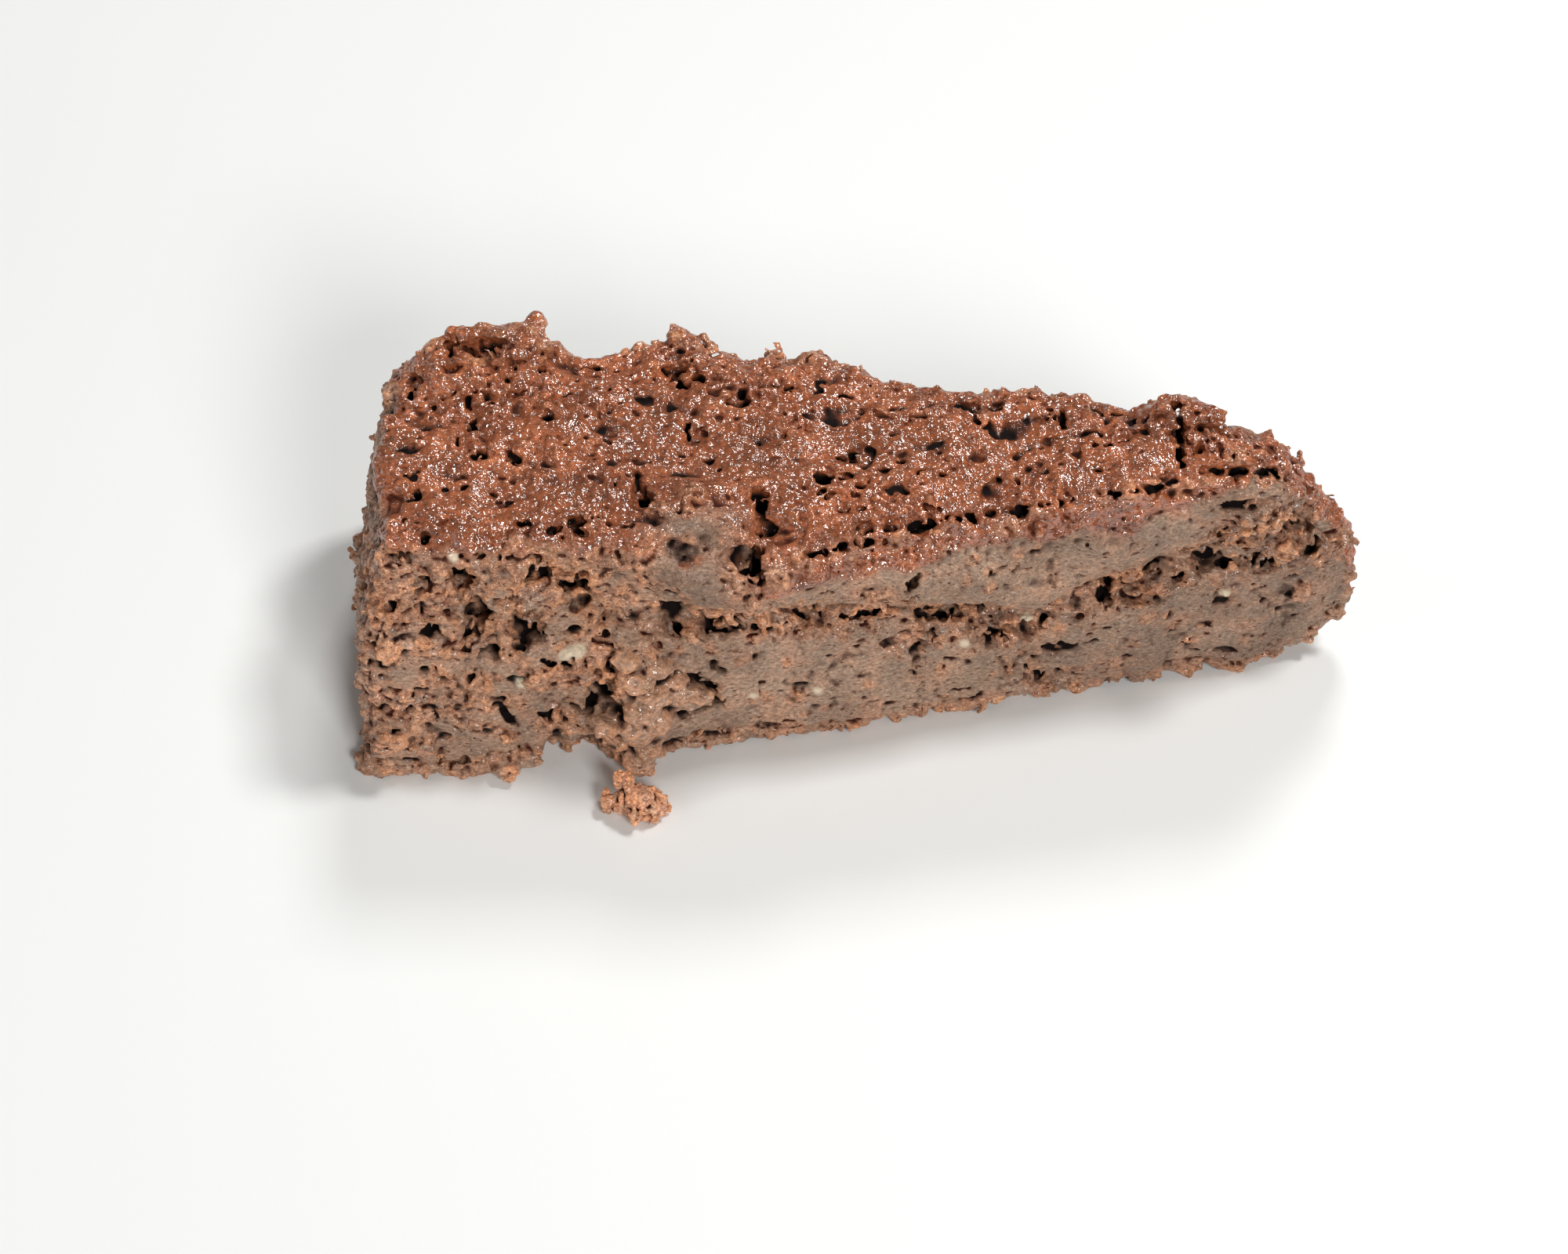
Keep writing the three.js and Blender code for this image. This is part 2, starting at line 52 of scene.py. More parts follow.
# ---- The slice as the part's source lays it out, in mm and degrees
CAKE_CENTRE = (68.534, 3.443)  # of the whole cake, in the part's frame
CAKE_RADIUS = 127
HEIGHT = 37
RIM_LEAN = 4.4
RIM_BULGE = 1.1
HALF_ANGLE = 11.25
FRONT_TOP = [[6, -10], [8, 3], [11, 10], [20, 11.25], [84, 11.85], [98, 8.8], [127, 7.3]]
FRONT_FOOT = [[6, -10], [8, 3], [11, 10], [20, 11.25], [95, 11.25], [116, 10.4], [127, 9.6]]
BACK_TOP = [[6, 32], [9, 20], [14, 15], [20, 12.75], [74, 12.25], [93, 12.15], [104, 9.9], [127, 8.6]]
BACK_FOOT = [[6, 32], [9, 20], [14, 15], [20, 12.75], [105, 11.25], [127, 10]]
TOP_LINE = [[6, 15], [7.2, 19.5], [9.2, 25.5], [12, 29.4], [15.5, 34.2], [18.5, 37], [23, 38], [30, 38],
            [38, 37], [100, 37], [127, 36]]
SEAM_LINE = [[14, 25], [27, 22.5], [38, 20], [48, 15.5], [56, 18], [66, 21], [84, 24.5], [95, 25]]

# ---- The camera
# Solved from the round plate and the woven mat: the slice is seen from the front and above.
CAMERA_LOOKS_AT = np.array([-8.594, 6.90, 0])  # mm, in the middle of the picture
CAMERA_DISTANCE = 466.1
CAMERA_ELEVATION = 49.5
CAMERA_AZIMUTH = -1.85
CAMERA_ROLL = 1.26
FOCAL_PIXELS = 4600.0  # the focal length
IMAGE_SIZE = (2000, 1600)
SENSOR = 36.0  # mm


def camera_axes():
    """Right, up and back of the camera, as unit vectors in the part's frame."""
    e, a, r = np.radians([CAMERA_ELEVATION, CAMERA_AZIMUTH, CAMERA_ROLL])
    back = np.array([np.sin(a) * np.cos(e), -np.cos(a) * np.cos(e), np.sin(e)])
    level = np.array([np.cos(a), np.sin(a), 0])
    upward = np.cross(back, level)
    right = level * np.cos(r) + upward * np.sin(r)
    up = upward * np.cos(r) - level * np.sin(r)
    return right, up, back


RIGHT, UP, BACK = camera_axes()
CAMERA_PLACE = CAMERA_LOOKS_AT + BACK * CAMERA_DISTANCE


# ---- The grid
VOXEL = 0.295  # mm
CRUMB_VOXEL = 0.6 * VOXEL  # for the fallen crumb
REACH = 4.0  # mm, distances are kept this far from the surface
MARGIN = 8  # empty voxels round the solid
FACET_BLURS = (0.7, 0.4)  # mm, against the solid's facets
FAR_OUT = 1e4  # put beyond a section's end, so that the end is flat
SEEN_DEPTH = 90  # mm, all of the slice is this near to the camera's distance
LOOKS = ("tint", "torn", "crust", "gloss", "pale", "dim")  # kept for each voxel, from 0 to 1
SECTIONS = 6  # the slice is made as this many closed meshes, side by side
rng = np.random.default_rng(11)


def ease(t):
    """0 below 0, 1 above 1, and a smooth step between."""
    t = np.clip(t, 0, 1)
    return t * t * (3 - 2 * t)


def over(values, level, width):
    """0 up to a level, 1 from a width above it."""
    return ease((values - level) / width)


def under(values, level, width):
    """0 down to a level, 1 from a width below it."""
    return ease((level - values) / width)


def bump(x, centre, half_width):
    """1 at the centre, 0 from half_width outwards."""
    return ease(1 - np.abs(x - centre) / half_width)


def line_at(knots, x):
    """Value at x of the line through knots, given as rows of [x, value]."""
    xs, values = zip(*knots)
    return np.interp(x, xs, values)


def to_part(along, degrees, up):
    """Points in the part's frame, in mm."""
    angle = np.radians(degrees)
    x = CAKE_CENTRE[0] - along * np.cos(angle)
    y = CAKE_CENTRE[1] - along * np.sin(angle)
    return np.stack(np.broadcast_arrays(x, y, up), -1).astype(float)


class Spots:
    """Where points of the slice lie: along, degrees and up, and how far inside each of its sides."""

    def __init__(self, points):
        dx = CAKE_CENTRE[0] - points[:, 0]
        dy = CAKE_CENTRE[1] - points[:, 1]
        self.along = np.hypot(dx, dy)
        self.degrees = np.degrees(np.arctan2(dy, dx))
        self.up = points[:, 2]
        share = np.clip(self.up / HEIGHT, 0, 1)
        mm_per_degree = np.radians(self.along)
        front, back = (
            line_at(foot, self.along) * (1 - share) + line_at(top, self.along) * share
            for foot, top in ((FRONT_FOOT, FRONT_TOP), (BACK_FOOT, BACK_TOP))
        )
        self.in_front = (front - self.degrees) * mm_per_degree
        self.in_back = (self.degrees + back) * mm_per_degree
        self.in_top = line_at(TOP_LINE, self.along) - self.up
        self.in_rim = CAKE_RADIUS + RIM_LEAN * (1 - share) + RIM_BULGE * np.sin(np.pi * share) - self.along
        self.from_seam = self.up - line_at(SEAM_LINE, self.along)


class Block:
    """A solid as a grid of distances to its surface in mm, minus inside, with looks kept beside it."""

    def __init__(self, node, voxel):
        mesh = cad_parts[node].data
        mesh.calc_loop_triangles()
        points = np.empty(len(mesh.vertices) * 3, np.float32)
        corners = np.empty(len(mesh.loop_triangles) * 3, np.int32)
        mesh.vertices.foreach_get("co", points)
        mesh.loop_triangles.foreach_get("vertices", corners)
        points = points.reshape(-1, 3) / MM
        self.voxel = voxel
        self.low = np.floor(points.min(0) / voxel).astype(int) - MARGIN
        self.shape = tuple(np.ceil(points.max(0) / voxel).astype(int) + MARGIN - self.low)
        level_set = openvdb.FloatGrid.createLevelSetFromPolygons(
            points.astype(np.float32),
            triangles=corners.reshape(-1, 3).astype(np.uint32),
            transform=openvdb.createLinearTransform(voxel),
            halfWidth=REACH / voxel,
        )
        self.field = np.empty(self.shape, np.float32)
        level_set.copyToArray(self.field, ijk=tuple(int(i) for i in self.low))
        for radius in FACET_BLURS:
            self.field = self.blurred(self.field, radius)
        self.looks = {name: np.zeros(self.shape, np.float32) for name in LOOKS}

    def band(self, inward, outward):
        """Flat indices of the voxels up to so far in and out from the surface, and their points in mm."""
        found = np.flatnonzero((self.field > -inward) & (self.field < outward))
        steps = np.stack(np.unravel_index(found, self.shape), -1)
        return found, ((steps + self.low) * self.voxel).astype(np.float32)

    def set_look(self, name, found, values):
        self.looks[name].reshape(-1)[found] = values

    def raise_skin(self, found, relief):
        """Moves the skin outwards by relief in mm at the voxels found."""
        self.field.reshape(-1)[found] -= relief.astype(np.float32)

    def sample(self, values, points):
        """A grid's values at points, linear between voxels."""
        at = np.asarray(points) / self.voxel - self.low
        base = np.clip(np.floor(at).astype(int), 0, np.array(self.shape) - 2)
        part = np.clip(at - base, 0, 1).astype(np.float32)
        sides = [(1 - part[:, axis], part[:, axis]) for axis in range(3)]
        first = np.ravel_multi_index(base.T, self.shape)
        result = np.zeros(len(at), np.float32)
        for i, j, k in np.ndindex(2, 2, 2):
            here = first + (i * self.shape[1] + j) * self.shape[2] + k
            result += sides[0][i] * sides[1][j] * sides[2][k] * np.take(values, here)
        return result

    def outward(self, point):
        """The direction straight out of the skin near a point."""
        steps = np.eye(3) * 2 * self.voxel
        slope = self.sample(self.field, point + steps) - self.sample(self.field, point - steps)
        return slope / max(np.linalg.norm(slope), 1e-6)

    def ball(self, centre, half, add, **looks):
        """Adds or cuts away an ellipsoid with its half sizes along x, y and z. What is added has the
        looks given."""
        half = np.broadcast_to(np.asarray(half, float), 3)
        pad = half + 4 * self.voxel
        start = np.maximum(np.floor((centre - pad) / self.voxel).astype(int) - self.low, 0)
        stop = np.minimum(np.ceil((centre + pad) / self.voxel).astype(int) - self.low + 1, self.shape)
        if (stop <= start).any():
            return
        box = tuple(slice(a, b) for a, b in zip(start, stop))
        axes = [
            ((np.arange(a, b) + low) * self.voxel - c) / h
            for a, b, low, c, h in zip(start, stop, self.low, centre, half)
        ]
        x, y, z = np.ix_(*axes)
        away = ((np.sqrt(x * x + y * y + z * z) - 1) * half.min()).astype(np.float32)
        if add:
            near = under(away, 0.5, 0.4)
            for name, value in looks.items():
                self.looks[name][box] += (value - self.looks[name][box]) * near
            self.field[box] = np.minimum(self.field[box], away)
        else:
            self.field[box] = np.maximum(self.field[box], -away)

    def noise(self, grain, stretch=(1, 1, 1)):
        """Smooth noise over the grid, with about as much above 0 as below and a spread of 0.7."""
        weights = []
        for count, factor in zip(self.shape, stretch):
            x = (np.arange(count) + rng.random()) * self.voxel / (grain * factor)
            cell = np.floor(x).astype(int)
            t = (x - cell).astype(np.float32)
            spline = [(1 - t) ** 3, 3 * t**3 - 6 * t**2 + 4, -3 * t**3 + 3 * t**2 + 3 * t + 1, t**3]
            weights.append((cell, [w / 6 for w in spline]))
        lattice = rng.standard_normal([int(cell[-1]) + 4 for cell, _ in weights]).astype(np.float32)
        (i, wi), (j, wj), (k, wk) = weights
        lattice = sum(lattice[i + n] * wi[n][:, None, None] for n in range(4))
        lattice = sum(lattice[:, j + n] * wj[n][None, :, None] for n in range(4))
        return sum(lattice[:, :, k + n] * wk[n][None, None, :] for n in range(4)) * 2.2

    def noise_at(self, found, grain, stretch=(1, 1, 1)):
        """Smooth noise at the voxels found."""
        return np.take(self.noise(grain, stretch), found)

    def blurred(self, values, radius):
        """The mean over a cube of that radius in mm."""
        n = max(1, round(radius / self.voxel))
        for axis in range(3):
            padded = np.pad(values, [(n + 1, n) if a == axis else (0, 0) for a in range(3)], mode="edge")
            total = np.cumsum(padded, axis=axis, dtype=np.float64)
            size = values.shape[axis]
            upper = np.take(total, range(2 * n + 1, 2 * n + 1 + size), axis=axis)
            lower = np.take(total, range(size), axis=axis)
            values = ((upper - lower) / (2 * n + 1)).astype(np.float32)
        return values

    def landing(self, start, direction, longest=14.0):
        """Where rays from start along direction first meet the solid, without those that miss it."""
        start = np.atleast_2d(start)
        direction = np.atleast_2d(direction)
        direction = direction / np.linalg.norm(direction, axis=-1, keepdims=True)
        hit = np.full(len(start), -1.0)
        for distance in np.arange(0, longest, self.voxel * 0.7):
            steps = np.rint((start + direction * distance) / self.voxel).astype(int) - self.low
            steps = np.clip(steps, 0, np.array(self.shape) - 1)
            inside = self.field[tuple(steps.T)] < 0
            hit = np.where((hit < 0) & inside, distance, hit)
        landed = start + direction * hit[:, None]
        landed[hit < 0] = np.nan
        return landed

    def seen(self, pixels):
        """The points of the skin that the camera sees at pixels of the picture."""
        u, v = np.atleast_2d(np.asarray(pixels, float)).T
        x = (u - IMAGE_SIZE[0] / 2) / FOCAL_PIXELS
        y = (IMAGE_SIZE[1] / 2 - v) / FOCAL_PIXELS
        direction = x[:, None] * RIGHT + y[:, None] * UP - BACK
        direction /= np.linalg.norm(direction, axis=1, keepdims=True)
        nearest = CAMERA_DISTANCE - SEEN_DEPTH
        return self.landing(CAMERA_PLACE + direction * nearest, direction, 2 * SEEN_DEPTH)

    def polygons(self, first, last):
        """(points in mm, quads) of the closed skin round the voxels from first to last along x."""
        part = np.clip(self.field[first : last + 1], -REACH, REACH)
        wall = np.full((1,) + self.shape[1:], FAR_OUT, np.float32)
        closed = np.ascontiguousarray(np.concatenate([wall, part, wall]), dtype=np.float32)
        grid = openvdb.FloatGrid(REACH)
        grid.transform = openvdb.createLinearTransform(self.voxel)
        corner = self.low + [first - 1, 0, 0]
        grid.copyFromArray(closed, ijk=tuple(int(i) for i in corner), tolerance=0.0)
        points, _, quads = grid.convertToPolygons(isovalue=0.0, adaptivity=0.0)
        return points.astype(float), quads


def granules(points, size, stretch=(1, 1, 1)):
    """Irregular grains that fill space: at each point 1 in a grain's middle and about 0 between
    grains, and the chance value from 0 to 1 of the grain that it is in."""
    period = 32  # grains, after which they repeat
    jitter = 0.7  # of the grains' middles, in grains
    edge = 0.45  # squared distance from a middle to the gap round it
    seeds = rng.random((period,) * 3 + (4,)).astype(np.float32)
    at = points / (size * np.array(stretch, np.float32)) - 0.5
    cell = np.floor(at).astype(np.int32)
    nearest = np.full(len(points), 9, np.float32)
    chance = np.zeros(len(points), np.float32)
    for corner in np.ndindex(2, 2, 2):
        here = cell + np.array(corner, np.int32)
        i, j, k = (here % period).T
        seed = seeds[i, j, k]
        away = here + jitter * (seed[:, :3] - 0.5) - at
        square = np.einsum("ij,ij->i", away, away)
        closer = square < nearest
        nearest[closer] = square[closer]
        chance[closer] = seed[closer, 3]
    return 1 - nearest / edge, chance


# ---- Where the cuts are crumbly and where they are smooth, with places in mm and degrees
SEAM_START = 12  # along, where the torn seam starts to show
SEAM_END = 98
SEAM_FADE = 8
ELSEWHERE = 0.75  # on all but the front cut


def crumbliness(at):
    """0 where the knife has left a dense, smooth cut, 1 where the crumb is torn open."""
    ends = over(at.along, SEAM_START, SEAM_FADE) * under(at.along, SEAM_END, SEAM_FADE)
    seam = bump(at.from_seam, 0, 6.5) * ends
    rim_end = 0.95 * over(at.along, 90, 9)
    tip = under(at.along, 30, 7) * over(at.up, 15, 6)
    foot = 0.8 * bump(at.up, 0, 4)
    edge = 0.5 * under(at.in_top, 4, 3)
    front = np.maximum.reduce([seam, rim_end, tip, foot, edge])
    near_front = under(at.in_front, 7, 2) * (at.in_front < at.in_back)
    return np.where(near_front > 0, front, ELSEWHERE) * (1 - crater_share(at))


def crater_share(at):
    """1 in the hollow broken into the top's front edge, where dense crumb shows."""
    return bump(at.along, 89.5, 9) * over(at.degrees, 5.5, 2.5) * over(at.up, 26, 4)


def crust_share(at):
    """1 on the baked top and the lip below its edges, 0 on the cuts."""
    in_front = under(at.in_front, 6, 2) * under(at.along, 90, 6) * over(at.along, 22, 8)
    inner = over(np.minimum.reduce([at.in_front, at.in_back, at.in_rim]), 3, 3)
    lip = 2.2 + 3.6 * np.maximum(in_front, inner)
    return under(at.in_top, lip, 1.2) * (1 - crater_share(at))


# ---- Named places, as pixels of the picture, with sizes in mm
# Holes in the front cut: [u, v, half length, half height, depth].
FRONT_HOLES = [
    [588, 749, 1.6, 2.5, 4.5], [582, 766, 0.8, 1.4, 3], [604, 797, 1, 2.3, 4.2],
    [617, 782, 1.2, 1.3, 3.6], [641, 773, 1.8, 0.8, 3], [674, 801, 1.8, 1.5, 3.8], [663, 806, 0.9, 0.8, 3],
    [704, 744, 2.8, 1.4, 2.4], [694, 741, 1.2, 1, 3.2], [717, 746, 1, 0.8, 3], [736, 769, 1.6, 1.5, 2.2],
    [506, 717, 1.4, 0.7, 3], [496, 772, 0.8, 0.9, 2.6], [539, 743, 1.4, 0.5, 2.6],
    [623, 834, 1.5, 0.7, 3.4], [609, 856, 0.9, 0.6, 2.4], [552, 782, 0.7, 0.5, 2],
    [553, 812, 0.9, 1.1, 2.4], [546, 854, 1, 0.7, 2.6], [480, 903, 1.1, 0.5, 2], [522, 904, 0.7, 0.5, 2],
    [510, 938, 0.9, 0.4, 2], [566, 868, 0.5, 0.4, 1.6], [768, 785, 1.4, 0.5, 3], [751, 811, 2, 0.45, 2.6],
    [624, 968, 2.2, 0.6, 2.6], [590, 976, 1.2, 0.5, 2], [808, 842, 1.4, 0.9, 3], [914, 853, 0.95, 1.1, 3.6],
    [910, 808, 1.2, 1, 4], [925, 806, 1.2, 0.5, 3.4], [944, 802, 1.2, 0.4, 3], [960, 722, 0.9, 1.7, 4.6],
    [957, 697, 0.9, 0.8, 3], [1006, 780, 0.9, 0.6, 3], [1029, 789, 0.9, 1, 3.4], [1043, 793, 1.2, 0.8, 3.8],
    [1050, 799, 0.8, 0.6, 3], [1089, 782, 1, 0.6, 3], [1116, 775, 0.7, 0.5, 2.6], [1160, 749, 1.2, 1, 3.6],
    [1158, 759, 0.8, 0.8, 3], [1181, 784, 1.4, 0.6, 3.4], [1213, 782, 1.3, 0.6, 3],
    [1271, 728, 1.1, 0.5, 2.6], [1266, 816, 1.6, 0.5, 2.8], [1250, 789, 1, 0.5, 2.4],
    [1334, 799, 0.9, 0.5, 2.4], [1407, 751, 0.9, 1.6, 2.2], [1465, 721, 1.2, 0.6, 2.6],
    [1472, 765, 1.6, 0.6, 2.4], [1490, 787, 0.5, 0.5, 1.6], [1533, 716, 1.4, 1.1, 3.4],
    [1549, 722, 1.4, 0.8, 2.8], [1601, 716, 1.7, 0.8, 3], [1618, 722, 1, 0.6, 2.4],
    [1557, 678, 0.9, 0.7, 3], [1640, 669, 1.6, 1, 3.4], [1658, 676, 1, 1.2, 3], [1672, 690, 0.6, 1.8, 2.4],
    [872, 870, 2, 1, 3.2], [892, 876, 1.4, 0.8, 3], [760, 893, 1.8, 1.1, 3], [742, 904, 1.5, 1, 2.6],
    [770, 868, 1.2, 1.4, 3], [905, 902, 1.4, 0.5, 2.2], [880, 912, 1.6, 0.8, 2.6],
    [768, 915, 1.4, 0.8, 2.6], [1339, 867, 1.6, 1.4, 2.4], [1500, 740, 0.7, 0.5, 2],
    [1441, 752, 0.8, 0.4, 2], [1380, 735, 0.6, 0.4, 1.8],
]
# Pits in the top: [u, v, half length, half width, depth].
TOP_HOLES = [
    [598, 449, 3.2, 1, 3], [576, 437, 1.4, 0.8, 2.4], [628, 453, 1.6, 0.8, 2.6], [620, 511, 1, 0.7, 2.4],
    [652, 480, 0.6, 1.2, 2.8], [611, 579, 1.2, 0.7, 2], [580, 557, 0.5, 1, 1.8], [560, 512, 0.7, 0.7, 1.6],
    [526, 499, 0.7, 0.9, 1.8], [604, 538, 0.4, 0.7, 1.6], [593, 515, 0.5, 0.8, 1.8],
    [654, 585, 0.9, 0.8, 2.2], [715, 572, 1, 0.7, 2.2], [770, 474, 1.6, 0.5, 2.2], [688, 462, 1, 0.5, 1.8],
    [736, 515, 0.6, 0.6, 1.6], [784, 515, 0.8, 0.8, 1.8], [725, 504, 0.5, 0.5, 1.4],
    [699, 530, 0.35, 1.2, 1.6], [573, 465, 0.5, 0.9, 1.8], [882, 482, 1.8, 1.5, 3.4],
    [846, 470, 1.8, 0.7, 2.6], [866, 470, 1.2, 0.6, 2.2], [940, 506, 1.2, 1.5, 2.6],
    [1003, 487, 0.4, 1.8, 2.2], [880, 556, 0.7, 0.9, 2.2], [1047, 613, 1.4, 1.2, 2.4],
    [1016, 548, 0.9, 0.6, 1.8], [966, 636, 1.2, 0.9, 3.4], [972, 648, 0.8, 0.7, 2.8],
    [904, 585, 0.6, 0.5, 1.6], [747, 664, 1.8, 0.7, 3], [730, 672, 1.6, 0.5, 2.6], [764, 655, 1, 0.6, 2.4],
    [708, 672, 0.8, 0.5, 2], [628, 626, 0.7, 0.5, 1.4], [666, 657, 0.7, 0.5, 1.6],
    [815, 632, 0.6, 1.4, 2.8], [825, 643, 0.8, 0.8, 3], [808, 604, 0.9, 0.5, 1.8],
    [532, 634, 0.7, 0.6, 1.8], [543, 681, 1, 0.5, 1.6], [1119, 506, 1.1, 0.8, 2.2],
    [1165, 537, 1, 0.8, 1.8], [1274, 518, 0.9, 0.6, 2], [1005, 556, 0.6, 0.7, 1.8],
    [1082, 581, 0.8, 0.8, 2], [1410, 564, 0.7, 0.7, 2.4], [1414, 595, 1.3, 0.7, 2.6],
    [1356, 534, 0.4, 1.4, 2.2], [1506, 545, 0.5, 3.2, 2.8], [1526, 573, 1.4, 1.2, 2.4],
    [1550, 543, 1.6, 0.5, 2.6], [1099, 669, 1.4, 0.9, 2.6], [1092, 644, 0.7, 0.6, 2.2],
    [1090, 619, 0.8, 0.6, 2], [1055, 627, 1.2, 0.9, 2.4], [1065, 566, 0.6, 0.5, 1.6],
    [1236, 560, 0.5, 0.6, 1.6], [1204, 606, 0.6, 0.5, 1.6], [1150, 590, 0.7, 0.5, 1.6],
    [1310, 572, 0.5, 0.5, 1.4],
]
# Cracks: the points they pass through, then half width and depth.
CRACKS = [
    [[(1028, 709), (1076, 698), (1110, 690), (1136, 678), (1208, 665), (1250, 658), (1300, 651)], 0.5, 2],
    [[(1300, 651), (1378, 636), (1420, 630), (1465, 624), (1499, 616)], 0.42, 1.6],
    [[(1533, 600), (1560, 602), (1600, 603), (1625, 600)], 0.5, 2],
    [[(864, 858), (882, 868), (910, 876)], 0.5, 2.2],
    [[(631, 889), (641, 903), (652, 921)], 0.5, 1.4],
    [[(1165, 813), (1167, 850), (1170, 890)], 0.25, 0.6],
    [[(785, 826), (774, 846), (777, 880), (782, 905)], 0.6, 2],
    [[(690, 841), (728, 851), (766, 846)], 0.35, 1.4],
    [[(1500, 520), (1507, 546), (1504, 575), (1507, 600)], 0.55, 2.4],
    [[(905, 803), (935, 800), (968, 795)], 0.65, 3],
    [[(985, 772), (1010, 778), (1040, 790), (1062, 797)], 0.7, 3],
    [[(1075, 787), (1100, 782), (1125, 776)], 0.6, 2.8],
    [[(1170, 784), (1195, 786), (1225, 782)], 0.6, 2.8],
    [[(1520, 722), (1545, 718), (1575, 714), (1612, 716)], 0.6, 2.6],
    [[(850, 798), (870, 806), (890, 812)], 0.6, 2.4],
    [[(690, 740), (715, 744), (745, 742)], 0.6, 2.2],
]
# Crumbs that stand out: [u, v, size, tint].
CRUMBS = [
    [628, 792, 1.5, 1], [625, 716, 1.9, 0.75], [494, 754, 1.4, 0.8], [496, 822, 1.7, 0.95],
    [582, 834, 2, 0.8], [567, 871, 1.6, 0.8], [612, 886, 1.8, 0.7], [761, 799, 1.8, 0.85],
    [661, 824, 2, 0.75], [763, 854, 1.5, 0.8], [726, 906, 1.9, 0.85], [689, 860, 1.3, 0.8],
    [494, 926, 2.6, 0.8], [495, 978, 1.9, 0.85], [552, 978, 2.2, 0.6], [627, 973, 1.8, 0.75],
    [698, 962, 1, 0.9], [579, 911, 1.3, 0.6], [450, 822, 1.2, 0.6], [571, 727, 0.7, 0.9],
    [824, 698, 1.5, 0.75], [818, 735, 1.2, 1], [776, 770, 1.2, 0.75], [838, 773, 1.1, 0.7],
    [917, 797, 1, 0.8], [878, 810, 1, 0.8], [948, 840, 1.6, 0.7], [1017, 890, 1.2, 0.9],
    [964, 888, 1.1, 0.8], [832, 829, 1.5, 0.9], [889, 963, 1.3, 0.5], [931, 728, 1.5, 0.4],
    [938, 750, 1.9, 0.45], [966, 760, 1.8, 0.4], [986, 738, 1.7, 0.45], [982, 708, 1.4, 0.3],
    [1022, 716, 1.6, 0.5], [1095, 682, 1.8, 0.55], [1076, 800, 1.5, 0.6], [1114, 762, 0.9, 0.9],
    [1242, 712, 0.8, 0.85], [1300, 898, 1.9, 0.6], [1315, 850, 1.8, 0.4], [1361, 854, 1, 0.5],
    [1601, 678, 1.9, 1.1], [1577, 581, 1, 0.9], [1659, 755, 1.8, 0.55], [1562, 757, 1.2, 0.8],
    [1727, 690, 1.4, 0.45], [1725, 733, 1.2, 0.45], [1574, 852, 0.9, 1], [1716, 762, 1.9, 0.2],
    [1708, 778, 2, 0.3], [1694, 796, 1.9, 0.3], [1672, 812, 1.5, 0.3], [1392, 630, 1.2, 0.7],
    [961, 706, 1.1, 0.1], [608, 462, 1, 0.9], [630, 455, 1, 0.8], [540, 446, 1.3, 0.9],
    [700, 440, 1.6, 0.6], [484, 480, 1.2, 0.3], [462, 570, 1.1, 0.5], [862, 434, 1.2, 0.9],
    [905, 440, 1.6, 0.6], [882, 437, 1.1, 0.8], [1031, 456, 2, 0.3], [1378, 506, 0.9, 1.1],
    [1183, 480, 0.9, 0.6], [880, 630, 2.2, 0.55], [842, 655, 1.4, 0.7],
]


def stroke(start, end, step):
    """Points from start to end at most a step apart."""
    count = max(2, int(math.dist(start, end) / step) + 1)
    return [tuple(np.array(start) * (1 - t) + np.array(end) * t) for t in np.linspace(0, 1, count)]


LARGER = 1.25  # the named holes are this much larger than listed
HOLE_BALLS = 9  # hollows that make up a hole
CRUMB_BALLS = 7  # balls that make up a crumb
CRACK_STEP = 3.0  # pixels between the hollows that make up a crack


def placed(block, rows):
    """(place on the skin, the row's other values) of each row whose pixel shows the slice."""
    places = block.seen([row[:2] for row in rows])
    return [(place, row[2:]) for place, row in zip(places, rows) if np.isfinite(place[0])]


def carve(block):
    """The named holes and cracks, all placed on the skin as it is before the first of them."""
    front = placed(block, FRONT_HOLES)
    top = placed(block, TOP_HOLES)
    routes = []
    for corners, half, depth in CRACKS:
        pixels = sum((stroke(a, b, CRACK_STEP) for a, b in zip(corners, corners[1:])), [])
        routes.append((block.seen(pixels), half, depth))
    for centre, (long, high, deep) in front:
        rough_hole(block, centre, (long, deep, high), 0.35)
    for centre, (long, wide, deep) in top:
        rough_hole(block, centre, (long, wide, deep), 0.25)
    for route, half, depth in routes:
        phase = rng.random(3) * 9
        for step, centre in enumerate(route):
            open_share = 0.8 + 0.2 * math.sin(step * 0.31 + phase[0])
            open_share += 0.25 * math.sin(step * 0.13 + phase[1])
            if np.isnan(centre[0]):
                continue
            width = half * min(open_share, 1.0) * rng.uniform(0.8, 1.3)
            wander = rng.normal(0, 0.15, 3)
            for share in (0, 0.5, 1):
                block.ball(centre + wander - BACK * depth * share * open_share, (0.5, width, width), False)


def rough_hole(block, centre, half, least):
    """A hole of overlapping hollows, each at least that share of its size, so that it isn't an oval."""
    half = LARGER * np.array(half)
    for _ in range(HOLE_BALLS):
        offset = rng.uniform(-0.7, 0.7, 3) * half
        block.ball(centre + offset, half * rng.uniform(least, least + 0.35, 3), False)


def cluster(block, centre, size, tint):
    """A crumb: a clump of balls of chance sizes, half sunk into the skin at a point."""
    out = block.outward(centre)
    baked = 0.75 * float(over(centre[2], 33, 2))
    for _ in range(CRUMB_BALLS):
        offset = rng.normal(0, 0.36, 3)
        offset -= out * (0.3 + 0.5 * max(0.0, offset @ out))
        half = size * rng.uniform(0.3, 0.55) * rng.uniform(0.75, 1.25, 3)
        shade = tint * rng.uniform(0.5, 1.1)
        block.ball(centre + size * offset, half, True, tint=shade, torn=0.7, crust=baked, gloss=0, dim=0)


